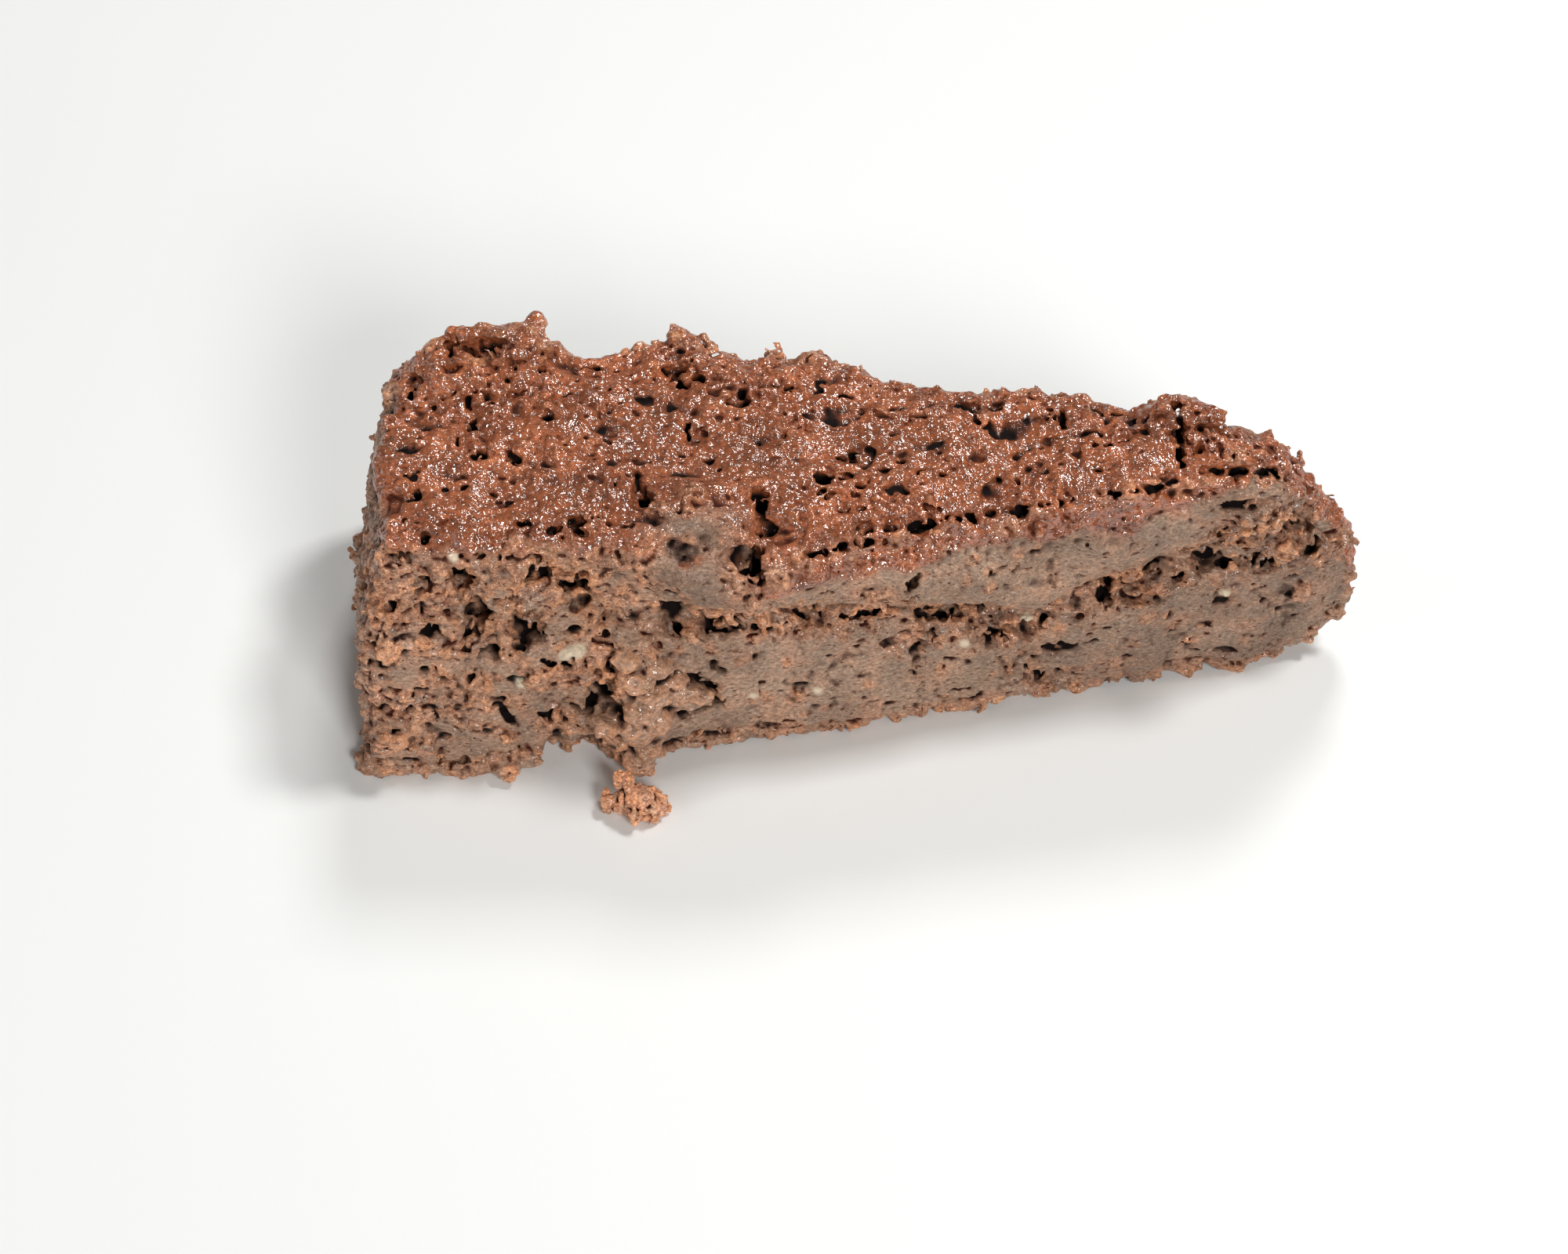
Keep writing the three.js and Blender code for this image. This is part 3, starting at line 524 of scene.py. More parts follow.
def scatter(block, points, sizes, tints):
    """A crumb at each of the points, where there is one."""
    for point in points[np.isfinite(points[:, 0])]:
        cluster(block, point, rng.uniform(*sizes), rng.uniform(*tints))


# The mass smeared down the front by the knife, then its torn rim: [u, v, half width, half height, out].
FLAP = [
    [800, 848, 1.7, 1.6, 1.6], [822, 838, 1.8, 1.3, 1.7], [840, 852, 2.1, 1.6, 2.1],
    [860, 868, 1.8, 1.2, 2], [880, 879, 1.8, 1, 1.9], [902, 889, 1.5, 0.8, 1.6],
    [812, 868, 2.7, 2, 2.4], [836, 884, 2.7, 1.9, 2.6], [816, 905, 2.8, 2.5, 2.7],
    [842, 918, 1.9, 1.8, 2.6], [810, 934, 2.2, 2.2, 2.5], [828, 955, 2.2, 2, 2.7],
    [814, 974, 1.9, 1.6, 2.5], [776, 926, 1.9, 1.2, 2.2], [790, 942, 1.7, 1.4, 2.3],
]
FLAP_RIM = [
    [794, 872, 1.9, 0.9], [790, 892, 1.5, 0.8], [776, 934, 2.2, 0.85], [790, 950, 1.8, 0.7],
    [816, 838, 1.6, 0.8], [912, 888, 1.4, 0.9], [884, 878, 1.2, 0.9], [862, 870, 1.4, 0.7],
    [882, 936, 1.6, 0.9], [862, 944, 1.4, 0.8], [856, 970, 1.5, 0.7], [822, 978, 1.6, 0.6],
    [808, 862, 1.1, 0.6], [762, 938, 1.4, 0.8],
]
# Pale flakes and one seed, each a short streak: [u, v, half length, half width, tilt in degrees].
FLAKES = [
    [730, 833, 1.5, 0.62, 24], [665, 871, 0.45, 0.25, -10], [579, 712, 0.3, 0.2, 0],
    [1310, 789, 0.55, 0.3, 60], [1562, 757, 0.4, 0.22, 30], [1043, 880, 0.25, 0.2, 0],
    [1230, 822, 0.3, 0.2, 0], [962, 886, 0.4, 0.24, 10],
]
# Smooth, glossy patches of the top: [u, v, radius].
GLOSSY = [
    [640, 640, 6], [700, 650, 6], [760, 640, 5], [585, 655, 5], [505, 560, 5], [500, 480, 5], [815, 560, 5],
    [930, 560, 6], [985, 600, 5], [1150, 560, 6], [1230, 590, 6], [1240, 625, 5], [1330, 560, 5],
    [1400, 600, 5], [660, 540, 4], [1050, 530, 5], [760, 500, 4], [620, 425, 4], [1470, 590, 4],
]


def add_gloss(block):
    """Where the crust is smooth and glossy: the named patches, and some by chance."""
    patches = placed(block, GLOSSY)
    found, points = block.band(2.5, 1.5)
    gloss = 0.8 * over(block.noise_at(found, 4.5), 0.2, 0.6)
    for centre, (radius,) in patches:
        away = np.linalg.norm((points - centre) * [0.7, 1, 1], axis=1)
        gloss = np.maximum(gloss, under(away, radius, 3))
    block.set_look("gloss", found, gloss * np.take(block.looks["crust"], found))


def add_flap(block):
    """The smeared mass, and the crumbs of its torn rim."""
    mass = placed(block, FLAP)
    rim = placed(block, FLAP_RIM)
    for centre, (wide, high, out) in mass:
        inward = block.outward(centre) * 0.6
        half = np.array([wide, out, high]) * rng.uniform(0.85, 1.1, 3)
        block.ball(centre - inward, half, True, tint=0.7, torn=0.1, gloss=0.5)
    for centre, (size, tint) in rim:
        cluster(block, centre - 1.2 * BACK, size, tint)


def add_crumbs(block):
    """The named crumbs."""
    for centre, (size, tint) in placed(block, CRUMBS):
        cluster(block, centre, size, tint)


def add_flakes(block):
    """The pale flakes, each a short row of balls on the skin."""
    for centre, (long, wide, tilt) in placed(block, FLAKES):
        lean = math.radians(tilt)
        step = np.array([math.cos(lean), 0, math.sin(lean)]) * (long - wide)
        for share in (-1, -0.5, 0, 0.5, 1):
            block.ball(centre + step * share, wide, True, pale=1, torn=0, tint=0, crust=0)


# ---- Chance crumbs
FRONT_OUT = np.array([math.sin(math.radians(HALF_ANGLE)), -math.cos(math.radians(HALF_ANGLE)), 0])
BACK_OUT = FRONT_OUT * [1, -1, 1]
DOWN = np.array([0, 0, -1.0])
CUT_START = 6  # mm out of a cut, where the rays that look for its skin start
RIM_START = 10
TOP_START = 48.0  # mm up
TOP_DEPTH = 24


def on_front(block, along, up):
    return block.landing(to_part(along, HALF_ANGLE, up) + FRONT_OUT * CUT_START, -FRONT_OUT)


def on_back(block, along, up):
    return block.landing(to_part(along, -HALF_ANGLE, up) + BACK_OUT * CUT_START, -BACK_OUT)


def on_top(block, along, degrees):
    return block.landing(to_part(along, degrees, TOP_START), DOWN, TOP_DEPTH)


def on_rim(block, degrees, up):
    start = to_part(CAKE_RADIUS + RIM_START, degrees, up)
    return block.landing(start, to_part(0, degrees, up) - start)


def by_seam(along):
    return line_at(SEAM_LINE, along) + rng.normal(0, 2.4, len(along))


def by_back_edge(along):
    return -line_at(BACK_TOP, along) + rng.uniform(0, 1.2, len(along))


def by_front_edge(along):
    return line_at(FRONT_TOP, along) - rng.uniform(0, 0.7, len(along))


# The face, how many, the ranges of the two values that say where, and those of size in mm and tint.
CHANCE_CRUMBS = [
    (on_front, 110, (97, 128), (1, 34), (0.6, 1.7), (0.5, 1.1)),
    (on_front, 100, (15, 97), by_seam, (0.5, 1.5), (0.2, 1.0)),
    (on_front, 120, (15, 127), (0.3, 1.8), (0.4, 1.1), (0.3, 1.0)),
    (on_front, 70, (15, 95), (3, 33), (0.3, 0.8), (0.3, 1.0)),
    (on_back, 200, (15, 128), (1, 35), (0.6, 1.5), (0.1, 0.7)),
    (on_rim, 25, (-9.5, 9.5), (1, 33), (0.4, 0.8), (0.1, 0.7)),
    (on_top, 90, (14, 126), by_back_edge, (0.5, 1.2), (0.1, 0.7)),
    (on_top, 60, (18, 126), by_front_edge, (0.4, 1.0), (0.1, 0.6)),
]


def chance_crumbs(block):
    """Crumbs on the cuts, the edges and the rim, and along the foot."""
    for face, count, first, second, sizes, tints in CHANCE_CRUMBS:
        first = rng.uniform(*first, count)
        second = second(first) if callable(second) else rng.uniform(*second, count)
        scatter(block, face(block, first, second), sizes, tints)


# ---- Relief, in mm
POCKET_DEPTH = 1.4  # torn out of the crumbly parts
SLIT_DEPTH = 1.9  # along the seam
CRUST_POCKET_DEPTH = 0.7
DASH_DEPTH = 0.55  # short, flat pores in the cuts
HOLE_DEPTH = 0.7  # small holes in the torn parts
PIT_DEPTH = 0.8  # small pits in the crust


def coarse_relief(block):
    """Large unevenness, and pockets torn out of the crumbly parts."""
    found, points = block.band(2.8, 1.8)
    at = Spots(points)
    broad = block.noise_at(found, 5.0)
    ragged = block.noise_at(found, 1.9)
    at.from_seam += 1.4 * broad + 1.4 * ragged
    at.in_top += 0.7 * ragged
    crumbly = crumbliness(at)
    crust = crust_share(at)
    tip = under(at.along, 30, 6)
    patches = over(block.noise_at(found, 3.4, (1.7, 1, 0.8)), 0.05, 0.3)
    tears = over(block.noise_at(found, 3.0, (2.2, 1, 0.7)), 0.7, 0.35)
    pockets = over(block.noise_at(found, 2.2, (1.8, 1, 0.75)), 0.55, 0.5)
    slits = bump(at.from_seam, 0, 3.0) * over(at.along, SEAM_START, SEAM_FADE)
    slits *= under(at.along, SEAM_END, SEAM_FADE)
    slits *= over(block.noise_at(found, 2.2, (2, 1, 0.8)), -0.2, 0.5)
    dome, chance = granules(points, 2.0, (1.25, 1, 0.85))
    patches *= over(at.in_rim, 1, 4)
    torn = np.maximum(crumbly * (1 - 0.9 * patches), 0.6 * tears) * (1 - crust)
    rough = np.maximum(torn, crust * tip)
    relief = rough * (0.3 * broad + 0.6 * (dome - 0.5) + (chance - 0.5) - POCKET_DEPTH * pockets)
    baked = 0.45 * broad + 0.15 * (dome - 0.5) - CRUST_POCKET_DEPTH * pockets * pockets
    relief += crust * (1 - tip) * baked
    relief += (1 - torn) * (1 - crust) * 0.25 * broad
    relief -= SLIT_DEPTH * slits * (1 - crust)
    block.raise_skin(found, relief)
    block.set_look("torn", found, torn)
    block.set_look("crust", found, crust)
    # The dim look: painted shade in the hollow broken into the top's front edge.
    block.set_look("dim", found, crater_share(at))
    tan = over(np.modf(chance * 7)[0], 0.6, 0.2)
    block.set_look("tint", found, 0.65 * tan * torn)


def fine_relief(block):
    """The grain of the crumb and of the crust, and small pores."""
    found, points = block.band(1.5, 1.0)
    torn = np.take(block.looks["torn"], found)
    crust = np.take(block.looks["crust"], found)
    dull = 1 - 0.45 * np.take(block.looks["gloss"], found)
    lumps = np.abs(block.noise_at(found, 1.5)) - 0.6
    small = np.abs(block.noise_at(found, 0.8)) - 0.6
    fine = block.noise_at(found, 0.45)
    plain = block.noise_at(found, 0.8)
    dome, chance = granules(points, 1.1)
    dashes = over(block.noise_at(found, 0.6, (1.8, 1, 0.7)) + 0.5 * fine, 1.4, 0.35)
    speckle = block.noise_at(found, 0.9, (1.6, 1, 0.8)) + 0.5 * fine
    holes = over(speckle, 1.25, 0.35)
    pits = over(speckle, 0.95, 0.4)
    cut = torn * (0.2 * lumps + 0.3 * small + 0.25 * (dome - 0.5) + 0.45 * (chance - 0.5) + 0.16 * fine)
    cut += (1 - torn) * (0.06 * lumps + 0.14 * small + 0.12 * fine)
    cut -= DASH_DEPTH * dashes + HOLE_DEPTH * torn * holes
    baked = 0.3 * lumps + 0.2 * small + 0.15 * plain + 0.25 * (chance - 0.5) + 0.14 * fine
    baked = dull * baked - PIT_DEPTH * pits * (0.2 + 0.8 * dull)
    block.raise_skin(found, (1 - crust) * cut + crust * baked)


# ---- Meshes
ON_PLANE = 1e-3  # mm, as near as a point that lies on it
OUTLINE_ROUNDS = 3  # of moving the outline of an end out to the skin
OUTLINE_STEP = 0.15  # mm, at most in a round
LEAST_SLOPE = 0.5


def main_part(points, quads):
    """The largest connected part of a skin, without loose specks and closed bubbles."""
    edges = np.concatenate([quads[:, [0, 1]], quads[:, [1, 2]], quads[:, [2, 3]]])
    label = np.arange(len(points))
    while True:
        low = np.minimum(label[edges[:, 0]], label[edges[:, 1]])
        new = label.copy()
        for side in (0, 1):
            np.minimum.at(new, edges[:, side], low)
            np.minimum.at(new, label[edges[:, side]], low)
        new = new[new]
        if (new == label).all():
            break
        label = new
    keep = label == np.bincount(label).argmax()
    renumber = np.cumsum(keep) - 1
    return points[keep], renumber[quads[keep[quads[:, 0]]]]


def fill_end(points, quads):
    """Triangles over the flat region that quads cover, drawn only between the points of its outline."""
    edges = np.concatenate([quads[:, [i, (i + 1) % 4]] for i in range(4)])
    _, first, times = np.unique(np.sort(edges, axis=1), axis=0, return_index=True, return_counts=True)
    outline = edges[first[times == 1]]
    used, ends = np.unique(outline, return_inverse=True)
    flat = points[used, 1:]
    ends = ends.reshape(-1, 2)
    _, _, triangles, sources, _, _ = delaunay_2d_cdt(
        [Vector(p) for p in flat.tolist()], ends.tolist(), [], 1, 1e-7
    )
    own = used[[source[0] for source in sources]]
    triangles = own[np.array([t for t in triangles if len(t) == 3])]
    middle = points[triangles, 1:].mean(axis=1)
    start, end = (points[outline[:, i], 1:] for i in (0, 1))
    rise = end[:, 1] - start[:, 1]
    spans = (start[:, 1] > middle[:, None, 1]) != (end[:, 1] > middle[:, None, 1])
    share = (middle[:, None, 1] - start[:, 1]) / np.where(rise == 0, 1, rise)
    crossed = spans & (middle[:, None, 0] < start[:, 0] + share * (end[:, 0] - start[:, 0]))
    triangles = triangles[crossed.sum(axis=1) % 2 == 1]
    a, b, _, d = (points[quads[0, i], 1:] for i in range(4))
    if np.cross(b - a, d - a) < 0:
        triangles = triangles[:, ::-1]
    return triangles


def section(block, first, last):
    """Points in mm, quads and triangles of the closed piece of the solid between two planes of voxels.
    The triangles close its flat ends. The outline of each end is moved out to the skin, where the
    next section's outline lies too."""
    points, quads = main_part(*block.polygons(first, last))
    on_end = np.zeros(len(points), bool)
    fills = []
    skin = np.ones(len(quads), bool)
    for plane in (first, last):
        on_plane = np.abs(points[:, 0] - (plane + block.low[0]) * block.voxel) < ON_PLANE
        flat = on_plane[quads].all(axis=1)
        if flat.any():
            fills.append(fill_end(points, quads[flat]))
        on_end |= on_plane
        skin &= ~flat
    quads = quads[skin]
    triangles = np.concatenate(fills)
    kept = np.zeros(len(points), bool)
    kept[quads] = True
    renumber = np.cumsum(kept) - 1
    points, outline = points[kept], np.flatnonzero(on_end[kept])
    for _ in range(OUTLINE_ROUNDS):
        at = points[outline]
        distance = block.sample(block.field, at)
        slope = np.zeros((len(at), 3))
        for axis in (1, 2):
            step = np.zeros(3)
            step[axis] = block.voxel / 2
            ahead, behind = (block.sample(block.field, at + s) for s in (step, -step))
            slope[:, axis] = (ahead - behind) / block.voxel
        square = np.maximum((slope**2).sum(1), LEAST_SLOPE**2)
        share = np.clip(distance / square, -OUTLINE_STEP, OUTLINE_STEP)
        points[outline] -= share[:, None] * slope
    return points, renumber[quads], renumber[triangles]


def make_mesh(name, block, points, quads, triangles=()):
    """A mesh object from points in mm, with the block's looks as named values at its points. Triangles
    are flat shaded, which keeps them from darkening the skin beside them."""
    triangles = np.asarray(triangles, int).reshape(-1, 3)
    corners = np.concatenate([quads.ravel(), triangles.ravel()])
    starts = np.concatenate([np.arange(0, quads.size, 4), quads.size + np.arange(0, triangles.size, 3)])
    mesh = bpy.data.meshes.new(name)
    mesh.vertices.add(len(points))
    mesh.vertices.foreach_set("co", (points * MM).astype(np.float32).ravel())
    mesh.loops.add(len(corners))
    mesh.loops.foreach_set("vertex_index", corners.astype(np.int32))
    mesh.polygons.add(len(starts))
    mesh.polygons.foreach_set("loop_start", starts.astype(np.int32))
    mesh.polygons.foreach_set("use_smooth", np.arange(len(starts)) < len(quads))
    mesh.update(calc_edges=True)
    mesh.validate()
    for look, values in block.looks.items():
        attribute = mesh.attributes.new(look, "FLOAT", "POINT")
        attribute.data.foreach_set("value", block.sample(values, points))
    piece = bpy.data.objects.new(name, mesh)
    bpy.context.scene.collection.objects.link(piece)
    return piece


def flat_foot(block):
    """Nothing below the floor."""
    height = (np.arange(block.shape[2]) + block.low[2]) * block.voxel
    block.field = np.maximum(block.field, -height.astype(np.float32)[None, None, :])


FINE_BLUR = 0.4  # mm, the radius over which a place is compared with what is near
BROAD_BLUR = 1.2


def measure_hollows(block):
    """Two more looks: how far each place stands out from what is near (over 0.5) or lies in a hollow
    (under 0.5), finely and broadly."""
    near = np.clip(block.field, -1.5, 1.5)
    fine = block.blurred(block.blurred(near, FINE_BLUR), FINE_BLUR)
    broad = block.blurred(block.blurred(fine, BROAD_BLUR), BROAD_BLUR)
    # The material paints shade into hollows and an orange highlight on what stands out, from these two
    # looks.
    block.looks["convex"] = np.clip(0.5 + fine / 0.5, 0, 1)
    block.looks["high"] = np.clip(0.5 + broad / 1.6, 0, 1)


# ---- Materials
def srgb(red, green, blue):
    """A colour from its 0-255 values as seen on a screen."""
    def linear(value):
        value /= 255
        return value / 12.92 if value <= 0.04045 else ((value + 0.055) / 1.055) ** 2.4
    return (linear(red), linear(green), linear(blue), 1.0)


class Nodes:
    """Builds a material's node tree with few words."""

    def __init__(self, name):
        self.material = bpy.data.materials.new(name)
        self.material.use_nodes = True
        self.tree = self.material.node_tree
        self.shader = next(n for n in self.tree.nodes if n.type == "BSDF_PRINCIPLED")

    def add(self, kind, inputs=None, **settings):
        node = self.tree.nodes.new("ShaderNode" + kind)
        for key, value in settings.items():
            setattr(node, key, value)
        for key, value in (inputs or {}).items():
            self.put(node.inputs[key], value)
        return node

    def put(self, socket, value):
        if isinstance(value, bpy.types.NodeSocket):
            self.tree.links.new(value, socket)
        else:
            socket.default_value = value

    def attribute(self, name):
        return self.add("Attribute", attribute_name=name).outputs["Fac"]

    def math(self, operation, a, b=0.0, c=0.0):
        node = self.add("Math", {0: a, 1: b, 2: c}, operation=operation)
        return node.outputs[0]

    def times(self, a, b):
        return self.math("MULTIPLY", a, b)

    def span(self, value, low, high, to_low=0.0, to_high=1.0):
        node = self.add("MapRange", {0: value, 1: low, 2: high, 3: to_low, 4: to_high})
        return node.outputs[0]

    def mix(self, share, a, b, blend="MIX"):
        node = self.add("Mix", data_type="RGBA", blend_type=blend)
        self.put(node.inputs[0], share)
        self.put(node.inputs[6], a)
        self.put(node.inputs[7], b)
        return node.outputs[2]

    def mm(self):
        """The place on the object, in mm."""
        place = self.add("TexCoord").outputs["Object"]
        return self.add("VectorMath", {0: place, 3: 1 / MM}, operation="SCALE").outputs[0]

    def noise(self, grain, detail=2.0, rough=0.55, stretch=(1, 1, 1)):
        """Noise of that grain in mm, longer along each axis by its stretch."""
        shrink = tuple(1 / factor for factor in stretch)
        place = self.add("VectorMath", {0: self.mm(), 1: shrink}, operation="MULTIPLY").outputs[0]
        inputs = {"Vector": place, "Scale": 1 / grain, "Detail": detail, "Roughness": rough}
        return self.add("TexNoise", inputs).outputs["Fac"]

    def shade(self, colour, factor):
        """A colour made darker or lighter by a factor."""
        return self.add("VectorMath", {0: colour, 3: factor}, operation="SCALE").outputs[0]


CUT_BROWN = srgb(163, 134, 113)
CUT_GREY = srgb(196, 174, 155)
CRUMB_BROWN = srgb(186, 130, 99)
CRUST_BROWN = srgb(162, 85, 44)
CRUST_RED = srgb(194, 112, 70)
WET_BROWN = srgb(150, 77, 36)
# ORANGE is both the crumbs' own orange-tan and a painted highlight on convex tips.
ORANGE = srgb(250, 174, 122)
PALE = srgb(250, 230, 200)
# The next two colours are painted shade: in gaps, pores and hollows, and where these are deep.
GAP_SHADE = srgb(94, 40, 22)
PORE_SHADE = srgb(18, 6, 3)
FLOOR_WHITES = (srgb(240, 241, 239), srgb(236, 237, 235))
GRAIN_STRETCH = (1.4, 1, 0.85)  # the grain is longer along the slice, and flatter
SPECULAR = 0.25
FILM_ROUGHNESS = 0.15
FILM_IOR = 2.0
GRAIN_DEPTH = 0.6 * MM  # of the bump below the size of a voxel
FILM_DEPTH = 0.55 * MM  # of the ripples in the wet film


def cake_material(name, painted_light=1.0):
    """The looks of all of it. The last argument makes all of it paler, as painted light for a brighter copy
    of the same cake.
    """
    n = Nodes(name)
    crust, torn, tint, gloss, convex, high, pale, dim = (
        n.attribute(look) for look in ("crust", "torn", "tint", "gloss", "convex", "high", "pale", "dim")
    )
    patchy = n.noise(3.5, 3.0)
    spotty = n.noise(1.6, 3.0)
    fine = n.noise(0.8, 5.0, 0.72, GRAIN_STRETCH)
    rough = n.math("MAXIMUM", torn, crust)

    # The cuts: redder where torn, with pale grains. Painted light and shade: paler over the rim half,
    # darker towards the tip, and darker in the hollow (the dim look).
    cut = n.mix(n.times(torn, n.span(spotty, 0.35, 0.6)), CUT_BROWN, CRUMB_BROWN)
    cut = n.mix(n.span(patchy, 0.45, 0.7, 0.0, 0.45), cut, CRUMB_BROWN)
    cut = n.mix(n.span(fine, 0.52, 0.7, 0.0, 0.3), cut, CUT_GREY)
    along = n.add("SeparateXYZ", {0: n.mm()}).outputs[0]
    cut = n.shade(cut, n.times(n.span(along, 0, 62, 1.26, 0.93), n.span(dim, 0, 1, 1.0, 0.72)))

    # The crust, and orange on what stands out: the crumbs' own orange-tan where tinted, and a painted
    # highlight on convex tips.
    top = n.mix(n.span(patchy, 0.35, 0.65), CRUST_BROWN, CRUST_RED)
    top = n.mix(n.times(gloss, 0.7), top, WET_BROWN)
    colour = n.mix(crust, cut, top)
    painted_tip_highlight = n.times(n.span(convex, 0.6, 0.95), n.span(spotty, 0.42, 0.62))
    painted_tip_highlight = n.times(painted_tip_highlight, n.span(torn, 0, 1, 0.3, 0.95))
    tan = n.times(tint, n.span(convex, 0.4, 0.75, 0.2, 0.9))
    colour = n.mix(n.math("MAXIMUM", painted_tip_highlight, tan), colour, ORANGE)

    # Grain and broad tones.
    grain = n.noise(0.4, 3.0, 0.65, GRAIN_STRETCH)
    texture = n.math("MULTIPLY_ADD", rough, n.math("SUBTRACT", fine, grain), grain)
    contrast = n.times(n.span(texture, 0.33, 0.67, -0.55, 0.45), n.span(rough, 0, 1, 0.7, 1.1))
    tone = n.span(n.noise(7.0, 2.0), 0.35, 0.65, 0.82 * painted_light, 1.16 * painted_light)
    colour = n.shade(colour, n.times(tone, n.math("ADD", contrast, 1.0)))

    # Painted shade: in the gaps between grains, in pores too fine for the mesh and in hollows, nearly black
    # where deep.
    pore_shade = n.span(n.noise(0.45, 3.0, 0.6, (1.8, 1, 0.8)), 0.39, 0.32)
    ridge = n.math("ABSOLUTE", n.math("SUBTRACT", n.noise(1.0, 2.0, 0.6), 0.5))
    bare = n.times(rough, n.span(gloss, 0, 1, 0.65, 0.2))
    gaps = n.times(n.span(ridge, 0.035, 0.0), bare)
    gaps = n.math("MAXIMUM", gaps, n.times(pore_shade, n.span(gloss, 0, 1, 0.9, 0.2)))
    hollow = n.math("MAXIMUM", n.span(high, 0.46, 0.2), n.span(convex, 0.4, 0.15))
    dark = n.math("MAXIMUM", hollow, gaps)
    colour = n.mix(dark, colour, GAP_SHADE)
    deep = n.math("MAXIMUM", n.span(high, 0.46, 0.3), n.span(convex, 0.35, 0.05, 0.0, 0.6))
    colour = n.mix(deep, colour, PORE_SHADE)

    # Flakes, and pale specks.
    specks = n.times(n.span(n.noise(0.5, 1.0), 0.76, 0.8), 0.5)
    colour = n.mix(n.math("MAXIMUM", pale, specks), colour, PALE)
    n.put(n.shader.inputs["Base Color"], colour)

    # A rough crumb, with a wet film on the crust and the smeared mass.
    n.put(n.shader.inputs["Roughness"], n.span(dark, 0.0, 1.0, 0.55, 0.95))
    n.shader.inputs["Specular IOR Level"].default_value = SPECULAR
    film_weight = n.math("MAXIMUM", crust, n.span(gloss, 0, 1, n.span(torn, 0, 1, 0.1, 0.4), 1.0))
    n.put(n.shader.inputs["Coat Weight"], n.times(film_weight, n.span(dark, 0.5, 0.0)))
    n.shader.inputs["Coat Roughness"].default_value = FILM_ROUGHNESS
    n.shader.inputs["Coat IOR"].default_value = FILM_IOR
    grain_bump = n.add("Bump", {"Height": fine, "Strength": 1.0, "Distance": GRAIN_DEPTH})
    n.put(n.shader.inputs["Normal"], grain_bump.outputs[0])
    film = n.noise(0.8, 1.0, 0.5)
    film_bump = n.add("Bump", {"Height": film, "Strength": 1.0, "Distance": FILM_DEPTH})
    n.put(n.shader.inputs["Coat Normal"], film_bump.outputs[0])
    return n.material


def floor_material():
    n = Nodes("pale_floor")
    tone = n.mix(n.noise(180.0, 2.0), *FLOOR_WHITES)
    n.put(n.shader.inputs["Base Color"], tone)
    n.shader.inputs["Roughness"].default_value = 0.5
    return n.material


# ---- The slice and its fallen crumb
def section_planes(block):
    """Voxel planes along x that share the skin out evenly between the sections."""
    inside = block.field < 0
    changes = sum(np.diff(inside, axis=axis).sum(axis=(1, 2)) for axis in (1, 2))
    share = np.cumsum(changes) / changes.sum()
    inner = [int(np.searchsorted(share, i / SECTIONS)) for i in range(1, SECTIONS)]
    return [0, *inner, block.shape[0] - 1]


def dress(piece, material, node):
    """Gives a piece its material, puts it under the root body and hides the solid that it stands for."""
    piece.data.materials.append(material)
    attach(piece, "root")
    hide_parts(node)


def build_slice(material):
    block = Block("cake_slice", VOXEL)
    coarse_relief(block)
    add_gloss(block)
    chance_crumbs(block)
    carve(block)
    add_flap(block)
    add_crumbs(block)
    add_flakes(block)
    fine_relief(block)
    flat_foot(block)
    measure_hollows(block)
    planes = section_planes(block)
    for number, (first, last) in enumerate(zip(planes, planes[1:]), 1):
        piece = make_mesh(f"cake_section_{number}", block, *section(block, first, last))
        dress(piece, material, "cake_slice")


def build_fallen_crumb(material):
    block = Block("fallen_crumb", CRUMB_VOXEL)
    found, points = block.band(2.0, 1.5)
    dome, chance = granules(points, 1.6)
    small_dome, small_chance = granules(points, 0.8)
    relief = 0.5 * (dome - 0.5) + 0.6 * (chance - 0.5)
    relief += 0.25 * (small_dome - 0.5) + 0.3 * (small_chance - 0.5)
    relief += 0.12 * block.noise_at(found, 0.5)
    block.raise_skin(found, relief)
    block.looks["torn"][:] = 1
    block.set_look("tint", found, 0.4 + 0.5 * over(np.modf(chance * 5)[0], 0.5, 0.2))
    flat_foot(block)
    measure_hollows(block)
    piece = make_mesh("crumb_beside_slice", block, *main_part(*block.polygons(0, block.shape[0] - 1)))
    dress(piece, material, "fallen_crumb")


# ---- Floor, light and camera
FLOOR_SIDE = 3.0  # m, from the middle
LIGHT_DISTANCE = 1.5  # m
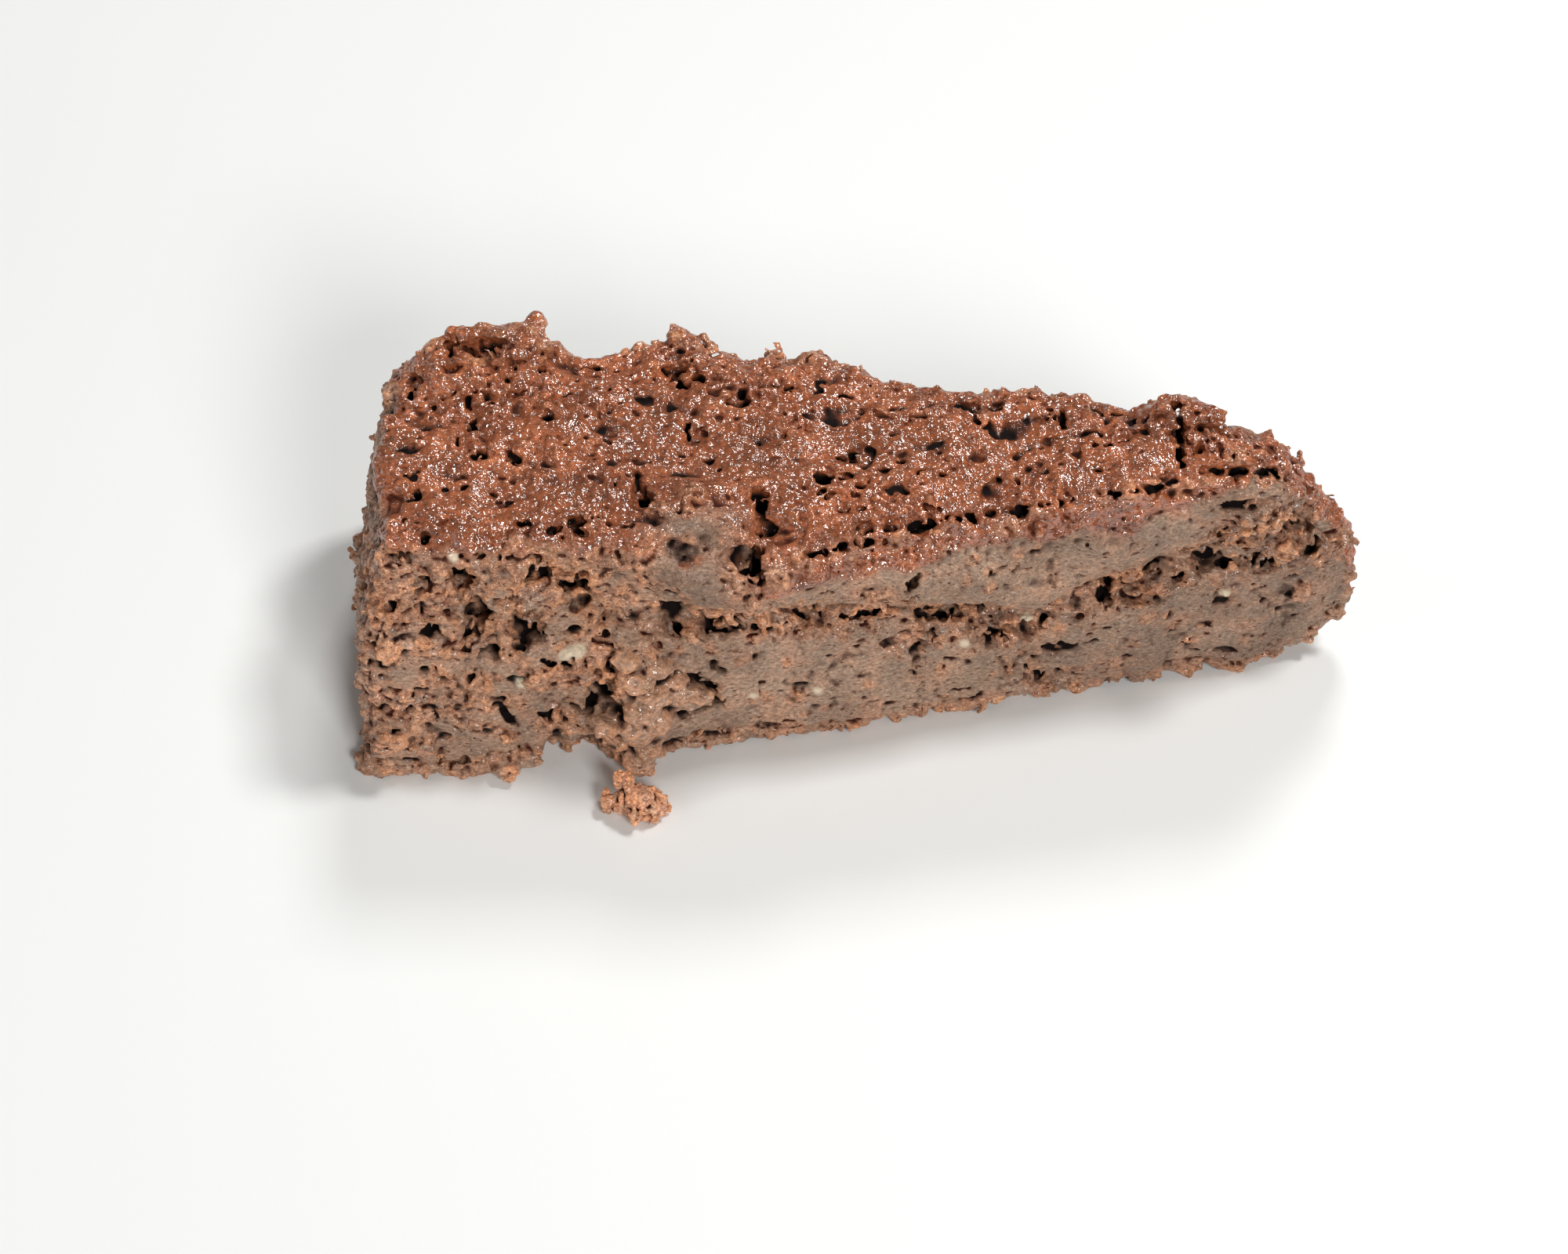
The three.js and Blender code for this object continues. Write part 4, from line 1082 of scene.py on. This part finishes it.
# Azimuth and elevation in degrees, side in m, watts. Azimuth 0 is in front, 90 at the right.
LIGHTS = {
    "key": (110, 64, 0.26, 10.6),
    "window": (168, 51, 0.34, 7.0),
    "front": (22, 36, 0.45, 12.8),
    "left": (-75, 30, 0.8, 3.0),
}
WORLD_STRENGTH = 0.08


def add_floor():
    mesh = bpy.data.meshes.new("floor")
    turns = ((-1, -1), (1, -1), (1, 1), (-1, 1))
    mesh.from_pydata([(FLOOR_SIDE * x, FLOOR_SIDE * y, 0) for x, y in turns], [], [(0, 1, 2, 3)])
    floor = bpy.data.objects.new("floor", mesh)
    floor.data.materials.append(floor_material())
    bpy.context.scene.collection.objects.link(floor)


def add_light(name, azimuth, elevation, side, watts):
    """A square soft light that looks at the slice."""
    lamp = bpy.data.lights.new(name, "AREA")
    lamp.size = side
    lamp.energy = watts
    light = bpy.data.objects.new(name, lamp)
    a, e = math.radians(azimuth), math.radians(elevation)
    away = Vector((math.sin(a) * math.cos(e), -math.cos(a) * math.cos(e), math.sin(e)))
    light.location = away * LIGHT_DISTANCE
    light.rotation_euler = away.to_track_quat("Z", "Y").to_euler()
    bpy.context.scene.collection.objects.link(light)


def add_world():
    world = bpy.data.worlds.new("studio")
    world.use_nodes = True
    background = world.node_tree.nodes["Background"]
    background.inputs["Color"].default_value = (1.0, 1.0, 0.99, 1.0)
    background.inputs["Strength"].default_value = WORLD_STRENGTH
    bpy.context.scene.world = world


def add_camera():
    data = bpy.data.cameras.new("camera")
    data.sensor_width = SENSOR
    data.sensor_fit = "HORIZONTAL"
    data.lens = SENSOR * FOCAL_PIXELS / IMAGE_SIZE[0]
    data.clip_start = 0.01
    camera = bpy.data.objects.new("camera", data)
    turned = Matrix(np.stack([RIGHT, UP, BACK], 1).tolist()).to_4x4()
    camera.matrix_world = Matrix.Translation(Vector(CAMERA_PLACE * MM)) @ turned
    bpy.context.scene.collection.objects.link(camera)
    bpy.context.scene.camera = camera


build_slice(cake_material("cake"))
# The fallen crumb is drawn with the cake's own look made 1.5 times paler: painted light.
build_fallen_crumb(cake_material("loose_crumb", 1.5))
add_floor()
for name, values in LIGHTS.items():
    add_light(name, *values)
add_world()
add_camera()
bpy.context.scene.view_settings.view_transform = "Standard"
